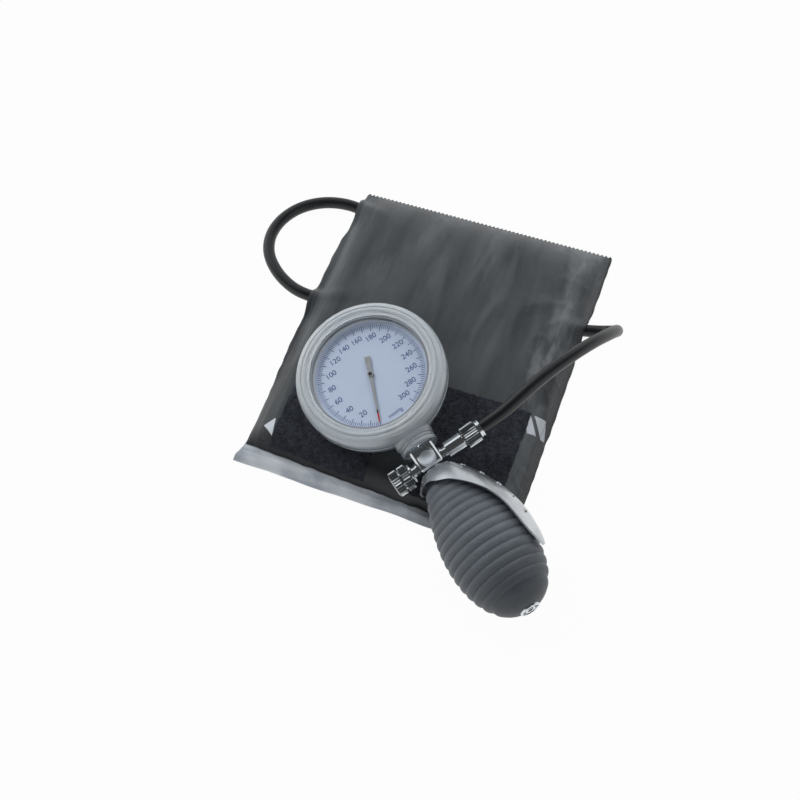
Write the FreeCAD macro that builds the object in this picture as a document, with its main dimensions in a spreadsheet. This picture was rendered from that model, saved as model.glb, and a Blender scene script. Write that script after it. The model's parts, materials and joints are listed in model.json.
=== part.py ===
import FreeCAD, Part
import math
import os
import Sketcher

Vector = FreeCAD.Vector

# Aneroid sphygmomanometer: a folded arm cuff lying flat, its air hose, and a hand unit (gauge, manifold,
# release valve, squeeze bulb and palm spoon) that rests with its gauge on the cuff, its bulb on the floor.
# Row frame: X across the cuff, Y along it, Z up, origin on the cuff's underside. Millimetres and degrees.
# Hand unit frame: X from the gauge to the bulb, Y to the dial's right, Z out of the dial.

SIZES = {
    # folded cuff
    "cuff_width": 140.0,
    "cuff_length": 177.0,
    "lining_overhang": 10.0,
    "lining_thickness": 0.8,
    "fold_height": 6.8,
    "bladder_side_margin": 6.3,
    "bladder_end_margin": 11.4,
    "bladder_thickness": 1.7,
    "panel_thickness": 1.1,
    "seam_width": 1.6,
    "side_slope": 8.0,
    "end_slope": 4.0,
    "loop_width": 113.0,
    "loop_length": 64.0,
    "loop_thickness": 0.8,
    "loop_inset": 5.5,
    "hook_width": 100.0,
    "hook_length": 45.0,
    "hook_thickness": 1.2,
    "hook_inset": 14.0,
    # way of the hose through the folded cuff
    "slot_middle": 23.4,
    "slot_angle": 12.0,
    "slot_width": 12.0,
    "slot_headroom": 0.7,
    "mouth_half": 7.0,
    "mouth_depth": 12.0,
    "pocket_room": 4.8,
    "route_half_width": 70.0,
    # hose and its port on the bladder
    "hose_diameter": 6.3,
    "hose_bore": 3.2,
    "hose_first_run": 11.0,
    "barb_play": 0.05,
    "port_radius": 5.2,
    "port_reach": 7.0,
    "port_neck_radius": 3.0,
    "port_barb_length": 6.0,
    # place of the hand unit
    "handset_x": -15.9,
    "handset_y": -44.5,
    "handset_z": 28.3,
    "handset_yaw": -38.7,
    "handset_pitch": 3.5,
    "handset_roll": 15.7,
    # gauge shells
    "gauge_lift": 4.2,
    "fit_gap": 0.05,
    "case_radius": 31.4,
    "case_wall": 1.2,
    "case_depth": 10.8,
    "case_rim": 8.0,
    "ring_thickness": 5.7,
    "ring_back": 1.4,
    "ring_lip_reach": 2.2,
    "ring_lip_height": 0.5,
    "ring_lip_step": 0.9,
    "ring_crown": 1.9,
    "ring_shoulder": 3.0,
    "neck_radius": 9.5,
    "neck_length": 11.6,
    "neck_gap": 0.2,
    "neck_bore": 5.3,
    "bezel_width": 3.2,
    "bezel_height": 1.5,
    "window_thickness": 1.0,
    "spacer_width": 2.25,
    "dial_height": 4.0,
    "dial_thickness": 0.5,
    "dial_hole": 1.5,
    # gauge movement
    "plate_margin": 4.7,
    "plate_thickness": 1.2,
    "pillar_radius": 1.6,
    "pillar_inset": 2.5,
    "pillar_count": 3,
    "bridge_height": 2.8,
    "bridge_thickness": 0.8,
    "bridge_half_width": 2.2,
    "bridge_post_radius": 1.2,
    "bridge_post_near": 6.5,
    "bridge_post_margin": 3.8,
    "pivot_radius": 0.5,
    "pivot_play": 0.05,
    "arbor_radius": 0.8,
    "gear_module": 0.4,
    "pinion_teeth": 8,
    "gear_ratio": 8,
    "sector_teeth": 11,
    "tooth_play": 0.13,
    "gear_height": 0.4,
    "pinion_width": 1.5,
    "sector_width": 0.9,
    "sector_hub_radius": 2.0,
    "pointer_margin": 3.1,
    "pointer_tail": 9.5,
    "pointer_root": 0.9,
    "pointer_tip": 0.3,
    "pointer_tail_half": 1.5,
    "pointer_thickness": 0.4,
    "pointer_height": 0.9,
    "pointer_hub_radius": 1.4,
    "pointer_hub_height": 1.2,
    "pointer_zero": -21.4,
    "spring_turns": 4,
    "spring_inner": 1.2,
    "spring_strip": 0.15,
    "spring_width": 0.3,
    "capsule_margin": 2.4,
    "capsule_height": 5.0,
    "capsule_wave": 0.6,
    "capsule_foot": 4.0,
    "stud_radius": 1.5,
    "stud_height": 1.7,
    "nipple_radius": 1.2,
    "feed_length": 2.5,
    "socket_half_width": 4.5,
    "socket_height": 8.2,
    "socket_clearance": 0.6,
    "stem_radius": 2.95,
    "stem_tip_radius": 2.0,
    "stem_bore": 1.3,
    "stem_seat_wall": 3.5,
    "nut_flats": 9.0,
    "nut_gap": 0.6,
    "nut_length": 5.0,
    # manifold and its three fittings
    "block_length": 12.0,
    "block_half_width": 6.0,
    "block_bevel": 0.9,
    "dish_radius": 9.0,
    "dish_depth": 1.1,
    "cross_offset": 7.5,
    "air_way": 1.6,
    "thread_depth": 2.4,
    "side_thread": 2.5,
    "washer_radius": 3.8,
    "washer_thickness": 0.5,
    "collar_radius": 3.4,
    "collar_length": 0.9,
    "spigot_neck_radius": 2.7,
    "spigot_neck_length": 2.3,
    "spigot_body_radius": 4.3,
    "spigot_body_length": 9.0,
    "spigot_tip_radius": 2.1,
    "spigot_tip_length": 7.0,
    "fitting_bore": 1.0,
    "seal_width": 1.2,
    "barb_socket_radius": 3.9,
    "barb_socket_bore": 2.9,
    "barb_flange_radius": 4.6,
    "barb_flange_length": 1.8,
    "barb_groove": 0.5,
    "barb_length": 5.4,
    "sleeve_radius": 5.3,
    "sleeve_length": 8.1,
    "sleeve_play": 0.08,
    "valve_neck_length": 2.2,
    "valve_neck_radius": 2.9,
    "valve_flange_radius": 5.2,
    "valve_flange_length": 0.9,
    "valve_stub_radius": 2.6,
    "valve_stub_length": 4.5,
    "valve_seat_bore": 0.8,
    "valve_seat_length": 1.4,
    "needle_radius": 1.5,
    "needle_tip": 0.45,
    "needle_grip": 2.8,
    "knob_radius": 6.4,
    "knob_length": 9.5,
    "knob_groove": 1.0,
    "knob_groove_depth": 1.0,
    "knob_gap": 0.4,
    "knob_bevel": 0.5,
    # bulb end
    "nipple_flange_radius": 5.6,
    "nipple_flange_length": 1.2,
    "nipple_neck_radius": 4.4,
    "nipple_neck_length": 2.6,
    "nipple_barb_radius": 4.6,
    "nipple_barb_length": 10.8,
    "chamber_radius": 2.7,
    "chamber_length": 3.0,
    "flap_radius": 2.5,
    "flap_thickness": 0.6,
    "flap_play": 0.05,
    "flap_travel": 0.7,
    "cage_hole": 1.5,
    "cage_thickness": 0.8,
    "retainer_radius": 6.4,
    "retainer_length": 0.9,
    "bulb_gap": 0.1,
    "bulb_neck_radius": 8.6,
    "bulb_radius": 21.5,
    "bulb_front": 44.6,
    "bulb_tail": 32.0,
    "bulb_wall": 2.6,
    "bulb_tail_power": 2.2,
    "rib_count": 14,
    "rib_depth": 0.9,
    "rib_lead": 4.6,
    "rib_trail": 9.0,
    "inlet_radius": 4.0,
    "inlet_flange_radius": 5.0,
    "inlet_flange_length": 1.0,
    "inlet_depth": 5.0,
    "inlet_bore": 1.6,
    "spoon_sheet": 1.2,
    "spoon_play": 0.1,
    "spoon_leaf_sheet": 0.9,
    "spoon_top": 8.4,
    "spoon_throat_room": 5.7,
    "spoon_belly_room": 3.1,
    "spoon_lip_room": 1.5,
    "spoon_throat_reach": 8.0,
    "spoon_belly_reach": 38.2,
    "spoon_lip_reach": 60.0,
    "spoon_trim": 3.0,
    "spoon_bell_reach": 5.4,
    "spoon_tilt": 20.0,
    "spoon_hole_count": 5,
    "spoon_hole_radius": 0.9,
    "spoon_hole_first": 5.6,
    "spoon_hole_last": 42.6,
}

# Rim of the palm spoon from the back of the bell round to the leaf's tip: degrees round the bulb from
# the leaf's middle, and share of the way from the bell's rim to the tip.
SPOON_RIM = [
    (180, 0.0), (145, 0.0), (115, 0.0), (102, 0.003), (92, 0.018), (82.5, 0.05), (72, 0.08), (61.5, 0.113),
    (49.5, 0.186), (40.2, 0.264), (34.5, 0.324), (30.3, 0.374), (27.2, 0.434), (25.2, 0.482), (22.6, 0.586),
    (21.4, 0.679), (19.3, 0.769), (15.6, 0.853), (12, 0.9), (8, 0.945), (4, 0.985), (0, 1.0),
]

# Hand-chosen route of the hose, from the coupling over the cuff's right edge, under the top panel,
# round the loop on the left and back under the far left corner to the bladder's port.
# The first two points follow the coupling's axis, so the list starts after them.
HOSE_ROUTE = [
    (54.2, -36.2, 39.8),
    (60.4, -25.4, 42.8),
    (67.0, -14.0, 43.6),
    (73.6, -2.4, 42.2),
    (79.4, 9.2, 38.0),
    (83.4, 19.2, 31.4),
    (85.6, 28.0, 23.0),
    (86.0, 34.8, 14.8),
    (83.0, 39.2, 8.6),
    (76.8, 40.8, 5.2),
    (68.2, 39.0, 4.3),
    (56.0, 35.4, 4.2),
    (34.0, 29.8, 4.2),
    (6.0, 25.0, 4.2),
    (-22.0, 18.0, 4.2),
    (-48.0, 13.6, 4.2),
    (-66.0, 9.0, 4.2),
    (-78.0, 8.2, 3.9),
    (-89.2, 10.4, 3.4),
    (-98.8, 16.4, 3.25),
    (-105.4, 26.4, 3.25),
    (-107.6, 39.6, 3.25),
    (-105.4, 53.0, 3.25),
    (-98.8, 64.4, 3.25),
    (-88.6, 72.2, 3.5),
    (-76.4, 75.2, 4.0),
    (-64.4, 73.0, 4.2),
    (-54.0, 66.8, 4.2),
]
ARC_SHARE = 0.45

doc = FreeCAD.newDocument("aneroid_sphygmomanometer")
sheet = doc.addObject("Spreadsheet::Sheet", "sizes")
for row, (name, number) in enumerate(SIZES.items(), start=1):
    sheet.set("A%d" % row, name)
    sheet.set("B%d" % row, "%g" % number)
    sheet.setAlias("B%d" % row, name)
doc.recompute()


class Size:
    """A length or angle that keeps its number and the sheet expression it comes from."""

    def __init__(self, value, text):
        self.value = value
        self.text = text

    @staticmethod
    def of(other):
        return other if isinstance(other, Size) else Size(float(other), "(%g)" % other)

    def join(self, sign, other, value):
        return Size(value, "(%s %s %s)" % (self.text, sign, other.text))

    def __add__(self, other):
        other = Size.of(other)
        return self.join("+", other, self.value + other.value)

    def __sub__(self, other):
        other = Size.of(other)
        return self.join("-", other, self.value - other.value)

    def __mul__(self, other):
        other = Size.of(other)
        return self.join("*", other, self.value * other.value)

    def __truediv__(self, other):
        other = Size.of(other)
        return self.join("/", other, self.value / other.value)

    def __radd__(self, other):
        return Size.of(other) + self

    def __rsub__(self, other):
        return Size.of(other) - self

    def __rmul__(self, other):
        return Size.of(other) * self

    def __neg__(self):
        return Size.of(0) - self


def size(name):
    return Size(float(sheet.get(name)), "sizes.%s" % name)


def number(name):
    return float(sheet.get(name))


def count(name):
    return int(round(sheet.get(name)))


def place(x, y, z, yaw=0, pitch=0, roll=0):
    """Placement expression from sizes or plain numbers."""
    texts = tuple(Size.of(v).text for v in (x, y, z, yaw, pitch, roll))
    return "placement(vector(%s; %s; %s); rotation(%s; %s; %s))" % texts


ROW = place(0, 0, 0)
HANDSET = place(size("handset_x"), size("handset_y"), size("handset_z"),
                size("handset_yaw"), size("handset_pitch"), size("handset_roll"))
GAUGE = "%s * %s" % (HANDSET, place(0, 0, size("gauge_lift")))
block_start = size("case_radius") + size("neck_length")
cross_x = block_start + size("cross_offset")
COUPLING = "%s * %s" % (HANDSET, place(cross_x, 0, 0, 90))
VALVE = "%s * %s" % (HANDSET, place(cross_x, 0, 0, -90))

NODES = []


def node(piece, label, frame):
    """Names a finished piece, puts it in its frame and lists it for export."""
    piece.Label = label
    piece.setExpression("Placement", frame)
    NODES.append(piece)
    return piece


def bind(piece, **sizes):
    for prop, value in sizes.items():
        piece.setExpression(prop, Size.of(value).text)
    return piece


def sketch(body, role, points):
    """Closed outline on one of the body's own planes, every corner tied to the sheet."""
    plane = [f for f in body.Origin.OriginFeatures if f.Role == role][0]
    outline = body.newObject("Sketcher::SketchObject", "outline")
    outline.AttachmentSupport = [(plane, "")]
    outline.MapMode = "FlatFace"
    corners = [tuple(Size.of(v) for v in point) for point in points]
    spots = [Vector(u.value, v.value, 0) for u, v in corners]
    total = len(spots)
    sides = [Part.LineSegment(spots[i], spots[(i + 1) % total]) for i in range(total)]
    outline.addGeometry(sides, False)
    for i in range(total):
        outline.addConstraint(Sketcher.Constraint("Coincident", i, 2, (i + 1) % total, 1))
    for i, corner in enumerate(corners):
        for kind, value in zip(("DistanceX", "DistanceY"), corner):
            index = outline.addConstraint(Sketcher.Constraint(kind, -1, 1, i, 1, value.value))
            outline.setExpression("Constraints[%d]" % index, value.text)
    return outline


def turned(axis, profile):
    """Body of revolution about X or Z. The profile lists (place along the axis, radius)."""
    body = doc.addObject("PartDesign::Body", "turned")
    if axis == "X":
        outline = sketch(body, "XY_Plane", profile)
        line = "H_Axis"
    else:
        outline = sketch(body, "XZ_Plane", [(radius, along) for along, radius in profile])
        line = "V_Axis"
    spin = body.newObject("PartDesign::Revolution", "spin")
    spin.Profile = outline
    spin.ReferenceAxis = (outline, [line])
    spin.Angle = 360
    return body


def padded(points, height):
    """Straight prism on the body's XY plane."""
    body = doc.addObject("PartDesign::Body", "padded")
    outline = sketch(body, "XY_Plane", points)
    pad = body.newObject("PartDesign::Pad", "pad")
    pad.Profile = outline
    pad.setExpression("Length", Size.of(height).text)
    return body


def box(low, high, frame=None):
    """Box between two corners, inside an optional frame expression."""
    low = [Size.of(v) for v in low]
    high = [Size.of(v) for v in high]
    piece = doc.addObject("Part::Box", "box")
    bind(piece, Length=high[0] - low[0], Width=high[1] - low[1], Height=high[2] - low[2])
    corner = place(*low)
    piece.setExpression("Placement", corner if frame is None else "%s * %s" % (frame, corner))
    return piece


def rod(radius, start, length, turn=(0, 0, 0)):
    """Cylinder of the given radius and length from a start point, turned by yaw, pitch and roll."""
    piece = doc.addObject("Part::Cylinder", "rod")
    bind(piece, Radius=radius, Height=length)
    piece.setExpression("Placement", place(*start, *turn))
    return piece


ALONG_X = (0, 90, 0)
ALONG_Y = (0, 0, -90)


def cut(base, *tools):
    piece = doc.addObject("Part::Cut", "cut")
    piece.Base = base
    piece.Tool = tools[0] if len(tools) == 1 else fuse(*tools)
    return piece


def fuse(*pieces):
    piece = doc.addObject("Part::MultiFuse", "fuse")
    piece.Shapes = list(pieces)
    return piece


def ring_profile(start, end, inner, outer):
    return [(start, inner), (start, outer), (end, outer), (end, inner)]


def shaped(shape, label, frame):
    """Piece whose solid is made with Part's own functions, in the given frame."""
    piece = doc.addObject("Part::Feature", label)
    piece.Shape = shape
    return node(piece, label, frame)


def curve(points):
    """Smooth edge through the given points."""
    spline = Part.BSplineCurve()
    spline.interpolate(points)
    return spline.toShape()


def spread(first, last, steps):
    """Evenly spaced numbers from first to last."""
    return [first + (last - first) * i / steps for i in range(steps + 1)]


# Folded cuff
half_width = size("cuff_width") / 2
half_length = size("cuff_length") / 2
lining_top = size("lining_thickness")
fold_top = lining_top + size("fold_height")
bladder_top = fold_top + size("bladder_thickness")
panel_top = bladder_top + size("panel_thickness")


def tapered(bottom, top, side, end, side_in, end_in):
    """Flat block on the lining whose four sides lean in towards its top."""
    piece = doc.addObject("Part::Wedge", "tapered")
    bind(piece, Xmin=-side, Xmax=side, X2min=-(side - side_in), X2max=side - side_in,
         Zmin=-end, Zmax=end, Z2min=-(end - end_in), Z2max=end - end_in, Ymin=bottom, Ymax=top)
    piece.setExpression("Placement", place(0, 0, 0, 0, 0, 90))
    return piece


def lean(slope, height):
    """How far the top panel's slope comes in over a height."""
    return slope * height / (panel_top - lining_top)


def slot_frame():
    """Frame whose X runs along the hose's way across the cuff."""
    return place(0, size("slot_middle"), 0, size("slot_angle"))


def on_cuff(point):
    """Point of the hose's route, which widens with the cuff it was drawn on."""
    drawn = number("route_half_width")
    x, y, z = point
    share = max(-1, min(1, x / drawn))
    return Vector(x + share * (half_width.value - drawn), y, z)


floor_route = [on_cuff(point) for point in HOSE_ROUTE]
hose_end = floor_route[-1]
end_heading = (hose_end - floor_route[-2]).normalize()
port_foot = hose_end + end_heading * number("port_reach")

FAR_REACH = size("cuff_length") + size("cuff_width")
slot_half = size("slot_width") / 2
slot_roof = fold_top + size("slot_headroom")

lining_near = -(half_length + size("lining_overhang"))
lining = box((-half_width, lining_near, 0), (half_width, half_length, lining_top))
lining.Label = "cuff_lining"
NODES.append(lining)

panel_outer = tapered(lining_top, panel_top, half_width, half_length, size("side_slope"), size("end_slope"))
panel_inner = tapered(lining_top, bladder_top,
                      half_width - size("seam_width"), half_length - size("seam_width"),
                      lean(size("side_slope"), bladder_top - lining_top),
                      lean(size("end_slope"), bladder_top - lining_top))
hose_mouths = box((-FAR_REACH, -slot_half, lining_top), (FAR_REACH, slot_half, slot_roof), slot_frame())
mouth_middle = Size.of((floor_route[-3].y + floor_route[-2].y) / 2)
mouth_far = mouth_middle + size("mouth_half")
far_mouth = box((-half_width, mouth_middle - size("mouth_half"), lining_top),
                (-half_width + size("mouth_depth"), mouth_far, slot_roof))
node(cut(panel_outer, panel_inner, hose_mouths, far_mouth), "cuff_top_panel", ROW)


def fold_block():
    height = fold_top - lining_top
    return tapered(lining_top, fold_top, half_width - size("seam_width"), half_length - size("seam_width"),
                   lean(size("side_slope"), height), lean(size("end_slope"), height))


hook_low = -half_length + size("hook_inset")
hook_high = hook_low + size("hook_length")
hook_half = size("hook_width") / 2
hook_top = lining_top + size("hook_thickness")
hook = box((-hook_half, hook_low, lining_top), (hook_half, hook_high, hook_top))
hook.Label = "hook_strip"
NODES.append(hook)

beyond_slot = box((-FAR_REACH, -slot_half, 0), (FAR_REACH, FAR_REACH, panel_top), slot_frame())
before_slot = box((-FAR_REACH, -FAR_REACH, 0), (FAR_REACH, slot_half, panel_top), slot_frame())
hook_room = box((-hook_half, hook_low, lining_top), (hook_half, hook_high, hook_top))
pocket_reach = size("port_radius") + size("pocket_room")
port_room = box((-half_width, port_foot.y - pocket_reach, 0),
                (port_foot.x + pocket_reach, mouth_far, panel_top))
node(cut(fold_block(), beyond_slot, hook_room), "cuff_near_fold", ROW)
node(cut(fold_block(), before_slot, port_room), "cuff_far_fold", ROW)

bladder_half = (half_width - size("seam_width") - lean(size("side_slope"), bladder_top - lining_top)
                - size("bladder_side_margin"))
bladder_end = (half_length - size("seam_width") - lean(size("end_slope"), bladder_top - lining_top)
               - size("bladder_end_margin"))
bladder = box((-bladder_half, -bladder_end, fold_top), (bladder_half, bladder_end, bladder_top))
bladder.Label = "air_bladder"
NODES.append(bladder)

loop_low = -half_length + size("loop_inset")
loop_half = size("loop_width") / 2
loop = box((-loop_half, loop_low, panel_top),
           (loop_half, loop_low + size("loop_length"), panel_top + size("loop_thickness")))
loop.Label = "loop_patch"
NODES.append(loop)

# Gauge shells, in the gauge frame: Z out of the dial, zero on top of the movement plate
gap = size("fit_gap")
case_radius = size("case_radius")
case_inner = case_radius - size("case_wall")
case_floor = -(size("case_depth") - size("case_wall"))
case_back = -size("case_depth")
case_rim = size("case_rim")
stem_height = -size("gauge_lift")
bezel_top = case_rim + size("bezel_height")

ring_back = case_back - size("ring_back")
ring_top = bezel_top + size("ring_crown")
ring_radius = case_radius + size("ring_thickness")
shoulder = size("ring_shoulder")
ring_bore = case_radius + gap
lip_radius = case_radius - size("ring_lip_reach")
lip_top = bezel_top + size("ring_lip_height")
lip_step = size("ring_lip_step")


def rim_spot(radius, height):
    return Vector(radius.value, 0, height.value)


def ring_solid():
    """Soft ring with a rounded flank, a crown and a slope down to its inner lip."""
    flank = [
        rim_spot(ring_radius - 1.5 * shoulder, ring_back),
        rim_spot(ring_radius - 0.8 * shoulder, ring_back + 1.2 * shoulder),
        rim_spot(ring_radius - 0.2 * shoulder, ring_back + 3 * shoulder),
        rim_spot(ring_radius, ring_top - 2.8 * shoulder),
        rim_spot(ring_radius - 0.35 * shoulder, ring_top - 1.3 * shoulder),
        rim_spot(ring_radius - shoulder, ring_top - 0.35 * shoulder),
        rim_spot(ring_radius - 1.8 * shoulder, ring_top),
    ]
    rest = [
        flank[-1],
        rim_spot(lip_radius + lip_step, lip_top + lip_step / 2),
        rim_spot(lip_radius, lip_top),
        rim_spot(lip_radius, bezel_top + gap),
        rim_spot(ring_bore, bezel_top + gap),
        rim_spot(ring_bore, case_back - gap),
        rim_spot(lip_radius, case_back - gap),
        rim_spot(lip_radius, ring_back),
        flank[0],
    ]
    edges = [curve(flank)] + [Part.makeLine(a, b) for a, b in zip(rest, rest[1:])]
    return Part.Face(Part.Wire(edges)).revolve(Vector(0, 0, 0), Vector(0, 0, 1), 360)


ring = doc.addObject("Part::Feature", "ring")
ring.Shape = ring_solid()
neck_end = block_start - size("neck_gap")
neck_start = (case_radius - size("neck_radius"), 0, stem_height)
neck = rod(size("neck_radius"), neck_start, neck_end - neck_start[0], ALONG_X)
neck_hole = rod(size("neck_bore"), neck_start, neck_end - neck_start[0] + 1, ALONG_X)
case_room = rod(ring_bore, (0, 0, case_back - gap), bezel_top - case_back + 2 * gap)
node(cut(fuse(ring, neck), neck_hole, case_room), "shock_ring", GAUGE)

case_shell = turned("Z", [
    (case_back, 0),
    (case_back, case_radius),
    (case_rim, case_radius),
    (case_rim, case_inner),
    (case_floor, case_inner),
    (case_floor, 0),
])
stem_hole = rod(size("stem_radius") + gap, (case_inner - 1, 0, stem_height), size("case_wall") + 2, ALONG_X)
node(cut(case_shell, stem_hole), "gauge_case", GAUGE)

bezel_inner = case_radius - size("bezel_width")
node(turned("Z", ring_profile(case_rim, bezel_top, bezel_inner, case_radius)), "bezel_ring", GAUGE)

dial_low = size("dial_height")
dial_top = dial_low + size("dial_thickness")
window_low = case_rim - size("window_thickness")
disc_radius = case_inner - gap
spacer_inner = disc_radius - size("spacer_width")
node(turned("Z", [(window_low, 0), (window_low, disc_radius), (case_rim, disc_radius), (case_rim, 0)]),
     "window_glass", GAUGE)
node(turned("Z", ring_profile(dial_top, window_low, spacer_inner, disc_radius)), "dial_spacer", GAUGE)
node(turned("Z", ring_profile(dial_low, dial_top, size("dial_hole"), disc_radius)), "dial_plate", GAUGE)

# Gauge movement
plate_low = -size("plate_thickness")
plate_radius = case_inner - size("plate_margin")
pillar_circle = plate_radius - size("pillar_inset")
pivot_hole = size("pivot_radius") + size("pivot_play")
bridge_low = size("bridge_height")
bridge_top = bridge_low + size("bridge_thickness")
pinion_pitch = size("gear_module") * size("pinion_teeth") / 2
sector_pitch = pinion_pitch * size("gear_ratio")
sector_x = -(pinion_pitch + sector_pitch)

plate = turned("Z", [(plate_low, 0), (plate_low, plate_radius), (0, plate_radius), (0, 0)])
centre_hole = rod(pivot_hole, (0, 0, plate_low - 1), size("plate_thickness") + 2)
sector_hole = rod(pivot_hole, (sector_x, 0, plate_low - 1), size("plate_thickness") + 2)
node(cut(plate, centre_hole, sector_hole), "movement_plate", GAUGE)


def pillars(low, high):
    """Equal pillars round the movement, clear of the bridge and the stem."""
    posts = []
    for i in range(count("pillar_count")):
        angle = math.pi / 2 + 2 * math.pi * i / count("pillar_count")
        spot = (pillar_circle * math.cos(angle), pillar_circle * math.sin(angle), low)
        posts.append(rod(size("pillar_radius"), spot, high - low))
    group = doc.addObject("Part::Compound", "pillars")
    group.Links = posts
    return group


node(pillars(case_floor, plate_low), "plate_pillars", GAUGE)
node(pillars(Size.of(0), dial_low), "dial_pillars", GAUGE)

post_near = size("bridge_post_near")
post_far = sector_x - size("bridge_post_margin")
post_radius = size("bridge_post_radius")
bar = box((post_far - post_radius, -size("bridge_half_width"), bridge_low),
          (post_near + post_radius, size("bridge_half_width"), bridge_top))
arbor_hole = rod(pivot_hole, (0, 0, bridge_low - 1), size("bridge_thickness") + 2)
upper_sector_hole = rod(pivot_hole, (sector_x, 0, bridge_low - 1), size("bridge_thickness") + 2)
near_post = rod(post_radius, (post_near, 0, 0), bridge_low)
far_post = rod(post_radius, (post_far, 0, 0), bridge_low)
node(fuse(cut(bar, arbor_hole, upper_sector_hole), near_post, far_post), "movement_bridge", GAUGE)


def tooth_points(pitch, tip, root, teeth, first, step):
    """Corners of a row of straight-flanked teeth, each centred on its own angle."""
    half = math.pi * number("gear_module") / 4 - number("tooth_play")
    points = []
    for i in range(teeth):
        middle = first + i * step
        for radius, share in ((root, 1.35), (tip, 0.5), (tip, -0.5), (root, -1.35)):
            turn = math.copysign(half * abs(share) / pitch, -share * step)
            points.append(Vector(radius * math.cos(middle + turn), radius * math.sin(middle + turn), 0))
    return points


def prism(points, low, height):
    face = Part.Face(Part.makePolygon(points + points[:1]))
    face.translate(Vector(0, 0, low))
    return face.extrude(Vector(0, 0, height))


def pin(radius, low, high):
    return Part.makeCylinder(radius, high - low, Vector(0, 0, low))


def gear_sizes(pitch):
    """Tip and root radius that leave the teeth room at the bottom."""
    return pitch + 0.8 * number("gear_module"), pitch - 1.25 * number("gear_module")


gear_low = number("gear_height")
pinion_step = 2 * math.pi / count("pinion_teeth")
pinion_tip, pinion_root = gear_sizes(pinion_pitch.value)
pinion = prism(tooth_points(pinion_pitch.value, pinion_tip, pinion_root, count("pinion_teeth"), math.pi,
                            pinion_step), gear_low, number("pinion_width"))
hub_top = dial_top.value + number("pointer_height") + number("pointer_hub_height")
arbor_pins = [
    pin(number("pivot_radius"), plate_low.value + number("pivot_play"), hub_top),
    pin(number("arbor_radius"), number("pivot_play"), bridge_low.value - number("pivot_play")),
]
shaped(pinion.multiFuse(arbor_pins).removeSplitter(), "pinion_arbor", GAUGE)

sector_step = 2 * math.pi / (count("pinion_teeth") * count("gear_ratio"))
sector_tip, sector_root = gear_sizes(sector_pitch.value)
sector_first = 1.5 * sector_step
sector_outline = tooth_points(sector_pitch.value, sector_tip, sector_root, count("sector_teeth"),
                              sector_first, -sector_step)
sector = prism([Vector(0, 0, 0)] + sector_outline, gear_low, number("sector_width"))
sector_pins = [
    pin(number("sector_hub_radius"), number("pivot_play"), bridge_low.value - number("pivot_play")),
    pin(number("pivot_radius"), plate_low.value + number("pivot_play"), bridge_top.value),
]
shaped(sector.multiFuse(sector_pins).removeSplitter(), "sector_gear",
       "%s * %s" % (GAUGE, place(sector_x, 0, 0)))

pointer_low = dial_top + size("pointer_height")
tail_half = size("pointer_tail_half")
pointer_length = spacer_inner - size("pointer_margin")
blade = padded([
    (-size("pointer_tail"), -tail_half),
    (0, -size("pointer_root")),
    (pointer_length, -size("pointer_tip")),
    (pointer_length, size("pointer_tip")),
    (0, size("pointer_root")),
    (-size("pointer_tail"), tail_half),
], size("pointer_thickness"))
hub = rod(size("pointer_hub_radius"), (0, 0, 0), size("pointer_hub_height"))
hub_hole = rod(size("pivot_radius"), (0, 0, -1), size("pointer_hub_height") + 2)
node(cut(fuse(blade, hub), hub_hole), "pointer",
     "%s * %s" % (GAUGE, place(0, 0, pointer_low, size("pointer_zero"))))


def spiral_wire(turns, inner, outer):
    """Flat spiral of half circles whose centres step from side to side."""
    grow = (outer - inner) / (2 * turns)
    edges = []
    start = inner
    side = 1
    for _ in range(2 * turns):
        end = start + grow
        middle = side * (start - end) / 2
        radius = (start + end) / 2
        crest = Vector(middle, side * radius, 0)
        edges.append(Part.Arc(Vector(side * start, 0, 0), crest, Vector(-side * end, 0, 0)).toShape())
        start = end
        side = -side
    return Part.Wire(edges)


spring_outer = post_near.value - post_radius.value - number("spring_strip")
spiral = spiral_wire(count("spring_turns"), number("spring_inner"), spring_outer)
strip_half = number("spring_strip") / 2
spring_low = bridge_low.value - 2 * number("spring_width")
strip = Part.makePolygon([
    Vector(number("spring_inner") - strip_half, 0, 0),
    Vector(number("spring_inner") + strip_half, 0, 0),
    Vector(number("spring_inner") + strip_half, 0, number("spring_width")),
    Vector(number("spring_inner") - strip_half, 0, number("spring_width")),
    Vector(number("spring_inner") - strip_half, 0, 0),
])
hairspring = spiral.makePipeShell([strip], True, True)
hairspring.translate(Vector(0, 0, spring_low))
shaped(hairspring, "hairspring", GAUGE)

# Pressure capsule, its stud, and the socket that feeds it
capsule_radius = pillar_circle - size("pillar_radius") - size("capsule_margin")
socket_start = capsule_radius + size("feed_length")
stem_seat_x = socket_start + size("stem_seat_wall")
capsule_top = case_floor + size("capsule_height")
capsule_middle = case_floor + 0.72 * size("capsule_height")
wave = size("capsule_wave")
capsule_dish = turned("Z", [
    (case_floor, 0),
    (case_floor, size("capsule_foot")),
    (case_floor + wave, size("capsule_foot") + wave),
    (case_floor + 2 * wave, 0.45 * capsule_radius),
    (case_floor + wave, 0.6 * capsule_radius),
    (case_floor + 2 * wave, 0.75 * capsule_radius),
    (capsule_middle - wave, 0.93 * capsule_radius),
    (capsule_middle - wave / 2, capsule_radius),
    (capsule_middle + wave / 2, capsule_radius),
    (capsule_middle + wave, 0.93 * capsule_radius),
    (capsule_top - wave, 0.75 * capsule_radius),
    (capsule_top - 2 * wave, 0.6 * capsule_radius),
    (capsule_top - wave, 0.45 * capsule_radius),
    (capsule_top, size("capsule_foot") + wave),
    (capsule_top, 0),
])
feed = rod(size("nipple_radius"), (0.9 * capsule_radius, 0, capsule_middle),
           socket_start - 0.9 * capsule_radius, ALONG_X)
node(fuse(capsule_dish, feed), "pressure_capsule", GAUGE)

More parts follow.
